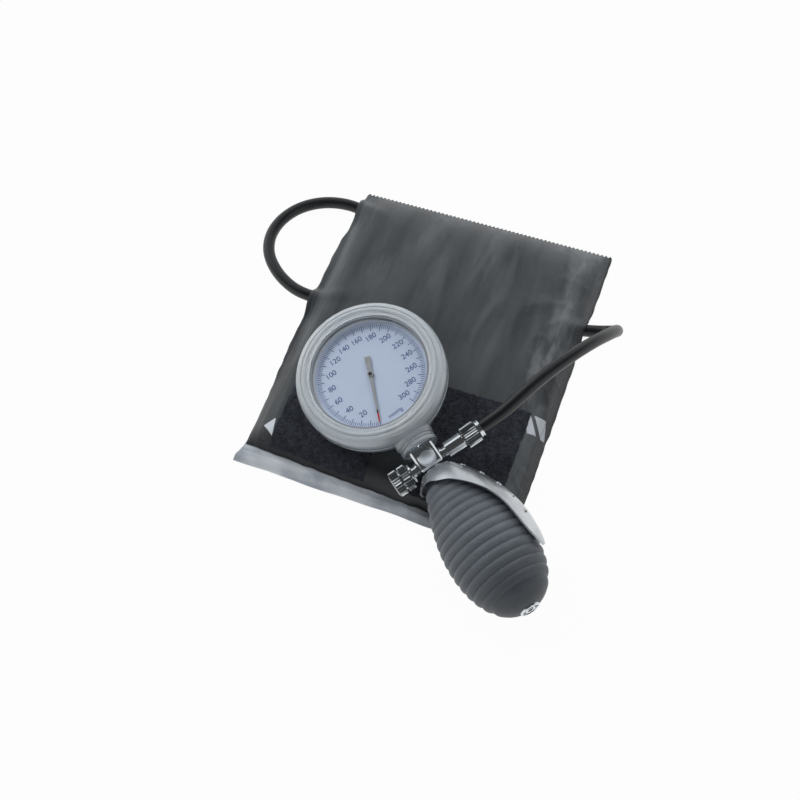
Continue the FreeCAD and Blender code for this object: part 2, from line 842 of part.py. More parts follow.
node(rod(size("stud_radius"), (0, 0, 0), size("stud_height")), "capsule_stud",
     "%s * %s" % (GAUGE, place(0, 0, capsule_top)))

socket_half = size("socket_half_width")
socket_end = case_inner - size("socket_clearance")
socket_block = box((socket_start, -socket_half, case_floor),
                   (socket_end, socket_half, case_floor + size("socket_height")))
stem_seat = rod(size("stem_tip_radius") + gap, (stem_seat_x, 0, stem_height), socket_end, ALONG_X)
feed_way = rod(size("nipple_radius") / 2, (socket_start - 1, 0, capsule_middle),
               stem_seat_x - socket_start + 2, ALONG_X)
node(cut(socket_block, stem_seat, feed_way), "pressure_socket", GAUGE)

# Stem, its nut and the manifold, in the hand unit frame
block_end = block_start + size("block_length")
block_half = size("block_half_width")
thread_depth = size("thread_depth")
stem_radius = size("stem_radius")
stem_step = socket_end + gap
node(turned("X", [
    (stem_seat_x + gap, size("stem_bore")),
    (stem_seat_x + gap, size("stem_tip_radius")),
    (stem_step, size("stem_tip_radius")),
    (stem_step, stem_radius),
    (block_start + thread_depth, stem_radius),
    (block_start + thread_depth, size("stem_bore")),
]), "gauge_stem", HANDSET)

nut_half = size("nut_flats") / 2
nut_start = case_radius + size("nut_gap")
nut = doc.addObject("Part::Prism", "nut")
nut.Polygon = 6
bind(nut, Circumradius=nut_half * 2 / math.sqrt(3), Height=size("nut_length"))
nut.setExpression("Placement", place(nut_start, 0, 0, *ALONG_X))
nut_hole = rod(stem_radius + gap, (nut_start - 1, 0, 0), size("nut_length") + 2, ALONG_X)
node(cut(nut, nut_hole), "stem_nut", HANDSET)

block_core = box((block_start, -block_half, -block_half), (block_end, block_half, block_half))
doc.recompute()
block = doc.addObject("Part::Chamfer", "block")
block.Base = block_core
bevel = number("block_bevel")
block.Edges = [(i + 1, bevel, bevel) for i in range(len(block_core.Shape.Edges))]
side_thread = size("side_thread")
side_depth = block_half - thread_depth
ways = [
    rod(size("air_way"), (block_start - 1, 0, 0), size("block_length") + 2, ALONG_X),
    rod(stem_radius + gap, (block_start - 1, 0, 0), thread_depth + 1, ALONG_X),
    rod(stem_radius + gap, (block_end - thread_depth, 0, 0), thread_depth + 1, ALONG_X),
    rod(size("air_way"), (cross_x, -block_half - 1, 0), 2 * block_half + 2, ALONG_Y),
    rod(side_thread, (cross_x, side_depth, 0), thread_depth + 1, ALONG_Y),
    rod(side_thread, (cross_x, -block_half - 1, 0), thread_depth + 1, ALONG_Y),
]
dish = doc.addObject("Part::Sphere", "dish")
bind(dish, Radius=size("dish_radius"))
dish.setExpression("Placement", place(block_start + size("block_length") / 2, 0,
                                      block_half + size("dish_radius") - size("dish_depth")))
node(cut(block, dish, *ways), "manifold_block", HANDSET)

washer = size("washer_thickness")
washer_hole = stem_radius + gap


def washer_ring(start, turn):
    outer = rod(size("washer_radius"), start, washer, turn)
    return cut(outer, rod(washer_hole, start, washer, turn))


washers = doc.addObject("Part::Compound", "washers")
washers.Links = [
    washer_ring((block_end, 0, 0), ALONG_X),
    washer_ring((cross_x, block_half, 0), ALONG_Y),
    washer_ring((cross_x, -block_half - washer, 0), ALONG_Y),
]
node(washers, "sealing_washers", HANDSET)

# Hose coupling, along its own X from the cross axis
seat = block_half + washer
thread_radius = side_thread - gap
collar_end = seat + size("collar_length")
spigot_neck_end = collar_end + size("spigot_neck_length")
spigot_body_end = spigot_neck_end + size("spigot_body_length")
spigot_end = spigot_body_end + size("spigot_tip_length")
fitting_bore = size("fitting_bore")
node(turned("X", [
    (side_depth, fitting_bore),
    (side_depth, thread_radius),
    (seat, thread_radius),
    (seat, size("collar_radius")),
    (collar_end, size("collar_radius")),
    (collar_end, size("spigot_neck_radius")),
    (spigot_neck_end, size("spigot_neck_radius")),
    (spigot_neck_end, size("spigot_body_radius")),
    (spigot_body_end, size("spigot_body_radius")),
    (spigot_body_end, size("spigot_tip_radius")),
    (spigot_end, size("spigot_tip_radius")),
    (spigot_end, fitting_bore),
]), "hose_spigot", COUPLING)

barb_start = spigot_body_end + 8 * gap
sleeve_start = spigot_body_end + 10 * gap
sleeve_end = sleeve_start + size("sleeve_length")
flange_end = sleeve_end + gap + size("barb_flange_length")
flange_start = sleeve_end + gap
socket_floor = spigot_end + 4 * gap
barb_radius = size("hose_bore") / 2 - size("barb_play")
groove = size("barb_groove")
groove_start = flange_start + (size("barb_flange_length") - groove) / 2
flange_radius = size("barb_flange_radius")
node(turned("X", [
    (barb_start, size("barb_socket_bore")),
    (barb_start, size("barb_socket_radius")),
    (flange_start, size("barb_socket_radius")),
    (flange_start, flange_radius),
    (groove_start, flange_radius),
    (groove_start, flange_radius - groove),
    (groove_start + groove, flange_radius - groove),
    (groove_start + groove, flange_radius),
    (flange_end, flange_radius),
    (flange_end, barb_radius),
    (flange_end + size("barb_length"), barb_radius),
    (flange_end + size("barb_length"), fitting_bore),
    (socket_floor, fitting_bore),
    (socket_floor, size("barb_socket_bore")),
]), "hose_barb", COUPLING)

seal_end = spigot_end - size("seal_width")
node(turned("X", ring_profile(seal_end - size("seal_width"), seal_end, size("spigot_tip_radius") + gap / 2,
                              size("barb_socket_bore") - gap / 2)), "spigot_seal", COUPLING)
node(turned("X", ring_profile(sleeve_start, sleeve_end, size("barb_socket_radius") + size("sleeve_play"),
                              size("sleeve_radius"))), "coupling_sleeve", COUPLING)

# Release valve, along its own X from the cross axis
valve_neck_end = collar_end + size("valve_neck_length")
valve_flange_end = valve_neck_end + size("valve_flange_length")
stub_end = valve_flange_end + size("valve_stub_length")
seat_floor = side_depth + size("valve_seat_length")
needle_bore = size("needle_radius") + gap
node(turned("X", [
    (side_depth, size("valve_seat_bore")),
    (side_depth, thread_radius),
    (seat, thread_radius),
    (seat, size("collar_radius")),
    (collar_end, size("collar_radius")),
    (collar_end, size("valve_neck_radius")),
    (valve_neck_end, size("valve_neck_radius")),
    (valve_neck_end, size("valve_flange_radius")),
    (valve_flange_end, size("valve_flange_radius")),
    (valve_flange_end, size("valve_stub_radius")),
    (stub_end, size("valve_stub_radius")),
    (stub_end, needle_bore),
    (seat_floor, needle_bore),
    (seat_floor, size("valve_seat_bore")),
]), "valve_body", VALVE)

needle_shoulder = seat_floor + gap
needle_end = stub_end + size("needle_grip")
needle_nose = size("valve_seat_bore") - gap
node(turned("X", [
    (needle_shoulder - size("valve_seat_length") / 2, 0),
    (needle_shoulder - size("valve_seat_length") / 2, size("needle_tip")),
    (needle_shoulder, needle_nose),
    (needle_shoulder, size("needle_radius")),
    (needle_end, size("needle_radius")),
    (needle_end, 0),
]), "valve_needle", VALVE)

knob_start = valve_flange_end + size("knob_gap")
knob_end = knob_start + size("knob_length")
knob_radius = size("knob_radius")
knob_bevel = size("knob_bevel")
groove_low = knob_start + (size("knob_length") - size("knob_groove")) / 2
groove_high = groove_low + size("knob_groove")
groove_radius = knob_radius - size("knob_groove_depth")
knob_room = size("valve_stub_radius") + 2 * gap
room_end = stub_end + 4 * gap
node(turned("X", [
    (knob_start, knob_room),
    (knob_start, knob_radius - knob_bevel),
    (knob_start + knob_bevel, knob_radius),
    (groove_low - knob_bevel, knob_radius),
    (groove_low, groove_radius),
    (groove_high, groove_radius),
    (groove_high + knob_bevel, knob_radius),
    (knob_end - knob_bevel, knob_radius),
    (knob_end, knob_radius - knob_bevel),
    (knob_end, 0),
    (needle_end + gap, 0),
    (needle_end + gap, needle_bore),
    (room_end, needle_bore),
    (room_end, knob_room),
]), "valve_knob", VALVE)

# Bulb nipple with the outlet valve, along the hand unit's X
nipple_seat = block_end + washer
nipple_flange_end = nipple_seat + size("nipple_flange_length")
nipple_neck_end = nipple_flange_end + size("nipple_neck_length")
nipple_end = nipple_neck_end + size("nipple_barb_length")
chamber_start = nipple_end - size("chamber_length")
air_way = size("air_way")
node(turned("X", [
    (block_end - thread_depth, air_way),
    (block_end - thread_depth, stem_radius),
    (nipple_seat, stem_radius),
    (nipple_seat, size("nipple_flange_radius")),
    (nipple_flange_end, size("nipple_flange_radius")),
    (nipple_flange_end, size("nipple_neck_radius")),
    (nipple_neck_end, size("nipple_neck_radius")),
    (nipple_neck_end, size("nipple_barb_radius")),
    (nipple_end, size("nipple_barb_radius") - 1),
    (nipple_end, size("chamber_radius")),
    (chamber_start, size("chamber_radius")),
    (chamber_start, air_way),
]), "bulb_nipple", HANDSET)


def flap_disc(label, start):
    """Loose rubber disc of a one-way valve."""
    disc = turned("X", [(0, 0), (0, size("flap_radius")), (size("flap_thickness"), size("flap_radius")),
                        (size("flap_thickness"), 0)])
    node(disc, label, "%s * %s" % (HANDSET, place(start, 0, 0)))


def cage_ring(label, start, radius):
    """Pressed-in ring that keeps the disc in its chamber."""
    node(turned("X", ring_profile(start, start + size("cage_thickness"), size("cage_hole"), radius - gap)),
         label, HANDSET)


cage_start = nipple_end - size("cage_thickness")
flap_rest = cage_start - size("flap_play") - size("flap_thickness")
flap_disc("outlet_flap", flap_rest)
cage_ring("outlet_cage", cage_start, size("chamber_radius"))

retainer_start = nipple_neck_end - size("retainer_length")
node(turned("X", ring_profile(retainer_start, nipple_neck_end, size("nipple_neck_radius") + gap,
                              size("retainer_radius"))), "spoon_retainer", HANDSET)

# Squeeze bulb: a rubber wall of revolution, ribbed by arcs, with a plain rounded tail
bulb_start = nipple_neck_end.value + number("bulb_gap")
bulb_middle = bulb_start + number("bulb_front")
bulb_end = bulb_middle + number("bulb_tail")
bulb_radius = number("bulb_radius")
bulb_neck = number("bulb_neck_radius")
tail_power = number("bulb_tail_power")


def bulb_outline(x):
    """Smooth outer radius of the bulb at a place along its axis."""
    if x < bulb_middle:
        share = (x - bulb_start) / (bulb_middle - bulb_start)
        return bulb_neck + (bulb_radius - bulb_neck) * math.sin(math.pi / 2 * share)
    share = min(1, (x - bulb_middle) / (bulb_end - bulb_middle))
    return bulb_radius * (1 - share ** tail_power) ** (1 / tail_power)


def spot(x, radius):
    return Vector(x, radius, 0)


def inlet_edge():
    """Where the rounded tail comes down to the flange of the inlet valve."""
    share = (1 - (number("inlet_flange_radius") / bulb_radius) ** tail_power) ** (1 / tail_power)
    return bulb_middle + (bulb_end - bulb_middle) * share


def bulb_wall():
    ribs = count("rib_count")
    depth = number("rib_depth")
    bounds = spread(bulb_start + number("rib_lead"), bulb_end - number("rib_trail"), ribs)
    hole = number("inlet_radius") + number("fit_gap")
    neck_bore = number("nipple_barb_radius") + number("fit_gap")
    tail_end = inlet_edge()
    corners = [spot(x, bulb_outline(x) - depth) for x in bounds]
    edges = [Part.makeLine(spot(bulb_start, neck_bore), spot(bulb_start, bulb_neck - depth)),
             Part.makeLine(spot(bulb_start, bulb_neck - depth), corners[0])]
    for low, high in zip(corners, corners[1:]):
        middle = (low.x + high.x) / 2
        edges.append(Part.Arc(low, spot(middle, bulb_outline(middle)), high).toShape())
    swell = [x for x in spread(bounds[-1], tail_end, 6)]
    tail = [spot(x, bulb_outline(x) - depth * max(0, 1 - i / 2)) for i, x in enumerate(swell)]
    edges.append(curve(tail))
    edges.append(Part.makeLine(tail[-1], spot(tail_end, hole)))
    inner_end = tail_end - number("bulb_wall") - number("rib_depth")
    inner_start = nipple_end.value
    edges.append(Part.makeLine(spot(tail_end, hole), spot(inner_end, hole)))
    wall = number("bulb_wall") + depth
    hollow = [spot(inner_end, hole)]
    for x in spread(inner_end - wall / 2, inner_start + wall, 8):
        hollow.append(spot(x, max(hole, bulb_outline(x) - wall)))
    hollow.append(spot(inner_start, neck_bore))
    edges.append(curve(hollow))
    edges.append(Part.makeLine(hollow[-1], spot(bulb_start, neck_bore)))
    return Part.Face(Part.Wire(edges)).revolve(Vector(0, 0, 0), Vector(1, 0, 0), 360)


shaped(bulb_wall(), "squeeze_bulb", HANDSET)

inlet_seat = Size.of(inlet_edge())
inlet_start = inlet_seat - size("inlet_depth")
inlet_end = inlet_seat + size("inlet_flange_length")
inlet_chamber_end = inlet_start + size("chamber_length")
node(turned("X", [
    (inlet_start, size("chamber_radius")),
    (inlet_start, size("inlet_radius")),
    (inlet_seat, size("inlet_radius")),
    (inlet_seat, size("inlet_flange_radius") - gap),
    (inlet_end, size("inlet_flange_radius") - 1),
    (inlet_end, size("inlet_bore")),
    (inlet_chamber_end, size("inlet_bore")),
    (inlet_chamber_end, size("chamber_radius")),
]), "inlet_valve_body", HANDSET)
inlet_rest = inlet_chamber_end - size("flap_play") - size("flap_thickness")
flap_disc("inlet_flap", inlet_rest)
cage_ring("inlet_cage", inlet_start, size("chamber_radius"))

# Palm spoon: a sheet of revolution round the bulb, cut off past a rim that runs from its bell into a long
# leaf on the dial's right
spoon_sheet = number("spoon_sheet")
spoon_start = nipple_flange_end.value + number("spoon_play")
throat_x = spoon_start + number("spoon_throat_reach")
belly_x = spoon_start + number("spoon_belly_reach")
lip_x = spoon_start + number("spoon_lip_reach")
bell_x = spoon_start + number("spoon_bell_reach")
throat_radius = bulb_neck + number("spoon_throat_room")
belly_radius = bulb_radius + number("spoon_belly_room")
spoon_lip_radius = bulb_radius + number("spoon_lip_room")
spoon_trim = number("spoon_trim")


def spoon_line(inset):
    """Outer line of the spoon from bell to lip and a little past it, moved in by a wall."""
    return [
        spot(spoon_start, number("spoon_top") - inset),
        spot(throat_x, throat_radius - inset),
        spot((throat_x + belly_x) / 2, 0.45 * throat_radius + 0.61 * belly_radius - inset),
        spot(belly_x, belly_radius - inset),
        spot(lip_x, spoon_lip_radius - inset),
        spot(lip_x + spoon_trim, spoon_lip_radius - spoon_trim / 8 - inset),
    ]


def spoon_sheet_solid():
    outer = spoon_line(0)
    inner = spoon_line(number("spoon_leaf_sheet"))
    top = number("nipple_neck_radius") + number("spoon_play")
    plate_end = spoon_start + spoon_sheet
    inner[0] = spot(plate_end, number("spoon_top") - spoon_sheet / 2)
    edges = [
        Part.makeLine(spot(spoon_start, top), outer[0]),
        curve(outer),
        Part.makeLine(outer[-1], inner[-1]),
        curve(inner),
        Part.makeLine(inner[0], spot(plate_end, top)),
        Part.makeLine(spot(plate_end, top), spot(spoon_start, top)),
    ]
    return Part.Face(Part.Wire(edges)).revolve(Vector(0, 0, 0), Vector(1, 0, 0), 360)


def rim_spots(radius):
    """Points round the bulb in line with the spoon's rim, at one distance from the axis."""
    ring = SPOON_RIM + [(-degrees, share) for degrees, share in reversed(SPOON_RIM[1:-1])]
    spots = []
    for degrees, share in ring:
        angle = math.radians(degrees)
        along = bell_x + (lip_x - bell_x) * share
        spots.append(Vector(along, radius * math.cos(angle), radius * math.sin(angle)))
    return spots


def rim_edge(radius):
    """Closed smooth edge through those points, stepped as the rim itself is."""
    rim = rim_spots(belly_radius)
    steps = [0]
    for here, following in zip(rim, rim[1:] + rim[:1]):
        steps.append(steps[-1] + (following - here).Length)
    spline = Part.BSplineCurve()
    spline.interpolate(Points=rim_spots(radius), PeriodicFlag=True, Parameters=steps)
    return spline.toShape()


def past_rim():
    """Room past the spoon's rim, bounded by lines straight out from the bulb's axis."""
    band = Part.makeRuledSurface(rim_edge(bulb_neck), rim_edge(belly_radius + spoon_trim))
    return band.extrude(Vector(2 * lip_x, 0, 0))


def spoon_holes():
    tools = []
    hole_steps = count("spoon_hole_count") - 1
    for reach in spread(number("spoon_hole_first"), number("spoon_hole_last"), hole_steps):
        tools.append(Part.makeCylinder(number("spoon_hole_radius"), 2 * belly_radius,
                                       Vector(spoon_start + reach, 0, 0), Vector(0, 1, 0)))
    return tools


spoon = spoon_sheet_solid().cut([past_rim()] + spoon_holes())
shaped(spoon, "palm_spoon", "%s * %s" % (HANDSET, place(0, 0, 0, 0, 0, size("spoon_tilt"))))

# Air hose and the port on the bladder
doc.recompute()
coupling_frame = [n for n in NODES if n.Label == "hose_barb"][0].Placement
hose_first = [coupling_frame.multVec(Vector(flange_end.value + run, 0, 0))
              for run in (0, number("hose_first_run"))]
route = hose_first + floor_route


def hose_path(points):
    """Straight runs joined by tangent arcs as large as the runs allow."""
    edges = []
    radii = []
    start = points[0]
    for before, corner, after in zip(points, points[1:], points[2:]):
        back = before - corner
        ahead = after - corner
        reach = ARC_SHARE * min(back.Length, ahead.Length)
        turn = math.pi - back.getAngle(ahead)
        radius = reach / math.tan(turn / 2)
        back.normalize()
        ahead.normalize()
        enter = corner + back * reach
        leave = corner + ahead * reach
        bisector = back + ahead
        bisector.normalize()
        middle = corner + bisector * (radius / math.cos(turn / 2) - radius)
        edges.append(Part.LineSegment(start, enter).toShape())
        edges.append(Part.Arc(enter, middle, leave).toShape())
        radii.append(radius)
        start = leave
    edges.append(Part.LineSegment(start, points[-1]).toShape())
    return Part.Wire(edges), radii


path, radii = hose_path(route)
print("hose arc radii", " ".join("%.1f" % r for r in radii))


def section(radius):
    first = (route[1] - route[0]).normalize()
    return Part.Wire(Part.Circle(route[0], first, radius).toShape())


def swept(radius):
    return path.makePipeShell([section(radius)], True, False)


outer_radius = number("hose_diameter") / 2
bore_radius = number("hose_bore") / 2
hose_solid = swept(outer_radius).cut(swept(bore_radius))
expected = math.pi * (outer_radius ** 2 - bore_radius ** 2) * path.Length
print("hose length %.1f volume %.1f expected %.1f" % (path.Length, hose_solid.Volume, expected))
shaped(hose_solid, "air_hose", ROW)


def port():
    """Elbow under the bladder that takes the hose's end."""
    bottom = lining_top.value
    riser = Part.makeCylinder(number("port_radius"), fold_top.value - bottom,
                              Vector(port_foot.x, port_foot.y, bottom))
    neck_rod = Part.makeCylinder(number("port_neck_radius"), number("port_reach"), hose_end, end_heading)
    barb = Part.makeCylinder(bore_radius - number("barb_play"), number("port_barb_length"),
                             hose_end - end_heading * number("port_barb_length"), end_heading)
    return riser.multiFuse([neck_rod, barb]).removeSplitter()


shaped(port(), "bladder_port", ROW)

doc.recompute()
failed = [o.Name for o in doc.Objects if "Invalid" in o.State or "Error" in o.State]
if failed:
    raise RuntimeError("failed objects: %s" % ", ".join(failed))
for piece in NODES:
    if piece.Shape.isNull() or not piece.Shape.isValid() or not piece.Shape.Solids:
        raise RuntimeError("bad shape: %s" % piece.Label)
os.makedirs("parts", exist_ok=True)
for piece in NODES:
    piece.Shape.exportStep(os.path.join("parts", piece.Label + ".step"))
print("%d nodes" % len(NODES))
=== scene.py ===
"""Blood pressure set: gauge, squeeze bulb and palm spoon on a folded arm cuff, joined to it by a hose."""
import json
import math

import bmesh
import bpy
from mathutils import Matrix, Vector, noise


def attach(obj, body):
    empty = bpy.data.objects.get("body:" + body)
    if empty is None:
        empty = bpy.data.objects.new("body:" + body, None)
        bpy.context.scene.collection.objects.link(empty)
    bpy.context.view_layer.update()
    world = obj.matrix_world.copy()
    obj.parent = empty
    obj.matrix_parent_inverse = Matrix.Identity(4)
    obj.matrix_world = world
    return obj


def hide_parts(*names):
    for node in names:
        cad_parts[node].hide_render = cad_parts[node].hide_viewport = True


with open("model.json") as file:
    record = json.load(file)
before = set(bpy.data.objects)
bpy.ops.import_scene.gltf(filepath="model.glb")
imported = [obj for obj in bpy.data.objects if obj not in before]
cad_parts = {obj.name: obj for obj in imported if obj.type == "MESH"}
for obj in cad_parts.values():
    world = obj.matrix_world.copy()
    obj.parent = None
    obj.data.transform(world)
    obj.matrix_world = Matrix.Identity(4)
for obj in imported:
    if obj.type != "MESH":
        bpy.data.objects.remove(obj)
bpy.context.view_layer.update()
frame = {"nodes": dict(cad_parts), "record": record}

MM = 0.001
SET = "cuff_and_handset"


def turn(degrees, axis):
    return Matrix.Rotation(math.radians(degrees), 4, axis)


def shift(x, y, z):
    return Matrix.Translation(Vector((x, y, z)) * MM)


# The hand unit lies tilted on the cuff: X runs from the dial's middle to the bulb, Z out of the dial
HANDSET = shift(-15.9, -44.5, 28.3) @ turn(-38.7, "Z") @ turn(3.5, "Y") @ turn(15.7, "X")
GAUGE = HANDSET @ shift(0, 0, 4.2)
COUPLING = HANDSET @ shift(50.5, 0, 0) @ turn(90, "Z")
VALVE = HANDSET @ shift(50.5, 0, 0) @ turn(-90, "Z")
STEM_DROP = -4.2
# Thumb dish in the top of the chrome block
DISH_MIDDLE = (50.5, 0, 6.0)
DISH_RADIUS = 4.3
# Palm spoon: the leaf's lean round the bulb's axis, and the punched holes as (along, radius, slope)
SPOON = HANDSET @ turn(20, "X")
SPOON_HOLES = [
    (62.4, 12.72, 34), (71.65, 18.07, 25), (80.9, 21.77, 18), (90.15, 24.0, 9.5), (99.4, 24.72, 0),
]
# Stands what is turned round X upright
STANDING = turn(-90, "Y")

# The scale on the dial: where zero lies from the gauge's X, and how far 300 mmHg turns on from there
DIAL_ZERO = -21.4
DIAL_SWEEP = 316.2
DIAL_END = 300

HOSE_DIAMETER = 6.3
HOSE_ROUTE = [
    (41.360, -54.416, 33.090), (48.123, -46.265, 36.061), (54.2, -36.2, 39.8), (60.4, -25.4, 42.8),
    (67.0, -14.0, 43.6), (73.6, -2.4, 42.2), (79.4, 9.2, 38.0), (83.4, 19.2, 31.4), (85.8, 28.6, 23.0),
    (86.2, 35.0, 14.8), (83.2, 38.0, 8.6), (76.8, 38.2, 5.2), (68.2, 36.4, 4.3), (56.0, 33.8, 4.2),
    (34.0, 29.8, 4.2), (6.0, 25.0, 4.2), (-22.0, 18.0, 4.2), (-48.0, 13.6, 4.2), (-66.0, 9.0, 4.2),
    (-78.0, 9.3, 3.9), (-87.2, 12.6, 3.4), (-97.0, 19.0, 3.25), (-105.4, 28.6, 3.25), (-109.1, 40.6, 3.25),
    (-107.3, 53.4, 3.25), (-100.6, 64.5, 3.25), (-89.8, 71.9, 3.5), (-76.8, 74.5, 4.0), (-64.4, 72.6, 4.2),
    (-54.0, 66.8, 4.2),
]


# Camera

EYE = (121.7, -386.9, 597.4)
TARGET = (-7.0, -33.4, 0)
LENS = 62.73


def aim_camera():
    lens = bpy.data.cameras.new("camera")
    lens.lens = LENS
    lens.sensor_width = 36
    holder = bpy.data.objects.new("camera", lens)
    bpy.context.scene.collection.objects.link(holder)
    eye = Vector(EYE) * MM
    target = Vector(TARGET) * MM
    holder.location = eye
    holder.rotation_euler = (target - eye).to_track_quat("-Z", "Y").to_euler()
    bpy.context.scene.camera = holder


aim_camera()
bpy.context.scene.view_settings.view_transform = "Standard"


# Shader arithmetic

class Tone:
    """One shader socket, so that a pattern can be written as arithmetic."""

    def __init__(self, tree, socket=None):
        self.tree = tree
        self.socket = socket

    def node(self, kind, settings=None, inputs=None, out=0):
        made = self.tree.nodes.new("ShaderNode" + kind)
        for key, value in (settings or {}).items():
            setattr(made, key, value)
        for key, value in (inputs or {}).items():
            if isinstance(value, Tone):
                self.tree.links.new(value.socket, made.inputs[key])
            else:
                made.inputs[key].default_value = value
        if isinstance(out, tuple):
            return [Tone(self.tree, made.outputs[name]) for name in out]
        return Tone(self.tree, made.outputs[out] if made.outputs else None)

    def maths(self, operation, first, second=0.0):
        return self.node("Math", {"operation": operation}, {0: first, 1: second})

    def ramp(self, value, low, high, start=0.0, end=1.0):
        return self.node("MapRange", {"interpolation_type": "SMOOTHSTEP"},
                         {0: value, 1: low, 2: high, 3: start, 4: end})

    def __add__(self, other):
        return self.maths("ADD", self, other)

    def __radd__(self, other):
        return self.maths("ADD", other, self)

    def __sub__(self, other):
        return self.maths("SUBTRACT", self, other)

    def __rsub__(self, other):
        return self.maths("SUBTRACT", other, self)

    def __mul__(self, other):
        return self.maths("MULTIPLY", self, other)

    def __rmul__(self, other):
        return self.maths("MULTIPLY", other, self)

    def __gt__(self, other):
        return self.maths("GREATER_THAN", self, other)


class Finish:
    """A material in the making: where on the piece, noise, mixes and the last coat."""

    def __init__(self, name):
        self.material = bpy.data.materials.new(name)
        self.material.use_nodes = True
        self.material.node_tree.nodes.clear()
        self.tone = Tone(self.material.node_tree)

    def place(self, stretch=(1, 1, 1), angle=(0, 0, 0), kind="Object"):
        spot = self.tone.node("TexCoord", out=kind)
        return self.tone.node("Mapping", None, {"Vector": spot, "Rotation": angle, "Scale": stretch})

    def parts(self, spot):
        return self.tone.node("SeparateXYZ", None, {"Vector": spot}, ("X", "Y", "Z"))

    def cloud(self, spot, scale, detail=2.0, rough=0.5):
        return self.tone.node("TexNoise", None,
                              {"Vector": spot, "Scale": scale, "Detail": detail, "Roughness": rough})

    def ramp(self, value, low, high, start=0.0, end=1.0):
        return self.tone.ramp(value, low, high, start, end)

    def mix(self, share, first, second):
        return self.tone.node("Mix", {"data_type": "RGBA"}, {0: share, 6: first, 7: second}, 2)

    def bump(self, height, distance, strength=1.0):
        return self.tone.node("Bump", None, {"Height": height, "Distance": distance, "Strength": strength})

    def coat(self, **sockets):
        named = {key.replace("_", " "): value for key, value in sockets.items()}
        shader = self.tone.node("BsdfPrincipled", None, named)
        self.tone.node("OutputMaterial", None, {"Surface": shader})
        return self.material


def along_axis(finish, where):
    """How far a spot lies along the X of a frame, and the way there from its origin."""
    start = where.translation
    axis = where.to_3x3() @ Vector((1, 0, 0))
    offset = finish.tone.node("VectorMath", {"operation": "SUBTRACT"}, {0: finish.place(), 1: start})
    along = finish.tone.node("VectorMath", {"operation": "DOT_PRODUCT"}, {0: offset, 1: axis}, "Value")
    return along, offset


def grey(level, cool=0.0):
    return (level * (1 - cool), level, level * (1 + cool), 1)


# Stage

def lay_floor():
    bpy.ops.object.select_all(action="DESELECT")
    bpy.ops.mesh.primitive_plane_add(size=8, location=(0, 0, -0.0003))
    floor = bpy.context.object
    floor.name = "floor"
    finish = Finish("pale_floor")
    camera, glossy, through = finish.tone.node(
        "LightPath", out=("Is Camera Ray", "Is Glossy Ray", "Is Transmission Ray"))
    seen = finish.tone.maths("MINIMUM", camera + glossy + through, 1.0)
    paper = finish.tone.node("BsdfDiffuse", None, {"Color": (0.42, 0.43, 0.45, 1)})
    glow = finish.tone.node("Emission", None, {"Color": (1, 1, 1, 1), "Strength": 1.0})
    shader = finish.tone.node("MixShader", None, {0: seen * 0.97, 1: paper, 2: glow})
    finish.tone.node("OutputMaterial", None, {"Surface": shader})
    floor.data.materials.append(finish.material)


def lamp(name, eye, target, side, power):
    light = bpy.data.lights.new(name, "AREA")
    light.shape = "SQUARE"
    light.size = side
    light.energy = power
    holder = bpy.data.objects.new(name, light)
    holder.location = eye
    holder.rotation_euler = (Vector(target) - Vector(eye)).to_track_quat("-Z", "Y").to_euler()
    holder.visible_glossy = False
    bpy.context.scene.collection.objects.link(holder)


# Soft boxes as what gleams sees them: where they hang, how near to that they start and fill, how bright
SOFT_BOXES = [((-0.72, 0.35, 0.6), 0.9, 0.96, 1.1), ((-0.05, 0.7, 0.72), 0.86, 0.96, 0.75),
              ((0.75, -0.25, 0.6), 0.95, 0.985, 0.8)]


def light_studio():
    """Soft lamps for the surfaces, and a dark ceiling with pale walls and soft boxes for what gleams."""
    world = bpy.data.worlds.new("studio")
    bpy.context.scene.world = world
    world.use_nodes = True
    world.node_tree.nodes.clear()
    tone = Tone(world.node_tree)
    camera, diffuse = tone.node("LightPath", out=("Is Camera Ray", "Is Diffuse Ray"))
    heading = tone.node("TexCoord", out="Generated")
    up = tone.node("SeparateXYZ", None, {"Vector": heading}, "Z")
    ceiling = tone.ramp(up, 0.2, 0.62, 1.0, 0.07)
    for box, rim, core, gleam in SOFT_BOXES:
        nearness = tone.node("VectorMath", {"operation": "DOT_PRODUCT"},
                             {0: heading, 1: Vector(box).normalized()}, "Value")
        ceiling = ceiling + tone.ramp(nearness, rim, core, 0, gleam)
    sky = tone.ramp(up, 0.0, 0.8, 0.12, 0.5)
    level = tone.maths("MAXIMUM", camera, diffuse * sky + (1 - diffuse) * ceiling)
    white = tone.node("Mix", {"data_type": "RGBA"},
                      {0: camera, 6: (0.94, 0.975, 1.0, 1), 7: (1, 1, 1, 1)}, 2)
    glow = tone.node("Background", None, {"Color": white, "Strength": level})
    tone.node("OutputWorld", None, {"Surface": glow})
    lamp("key_lamp", (-0.75, 0.1, 0.9), (0, -0.02, 0), 0.6, 6.2)
    lamp("top_lamp", (0.1, 0.85, 0.9), (0, 0, 0), 0.7, 3.6)
    lamp("fill_lamp", (0.95, -0.5, 0.6), (0, -0.05, 0), 0.6, 0.4)


lay_floor()
light_studio()


# Finishes

# Marks printed on the cuff: a plate crossed by a bar, and an arrow
INDEX_PLATE = [(55.7, -26.1), (66.7, -23.6), (69.1, -33.9), (60.3, -35.9)]
INDEX_BAR = [(58.5, -24.6), (60.3, -24.2), (67.5, -35.0), (65.3, -35.8)]
INDEX_ARROW = [(-63.6, -74.6), (-59.0, -69.9), (-57.0, -79.6)]
PRINT_BLUR = 0.12


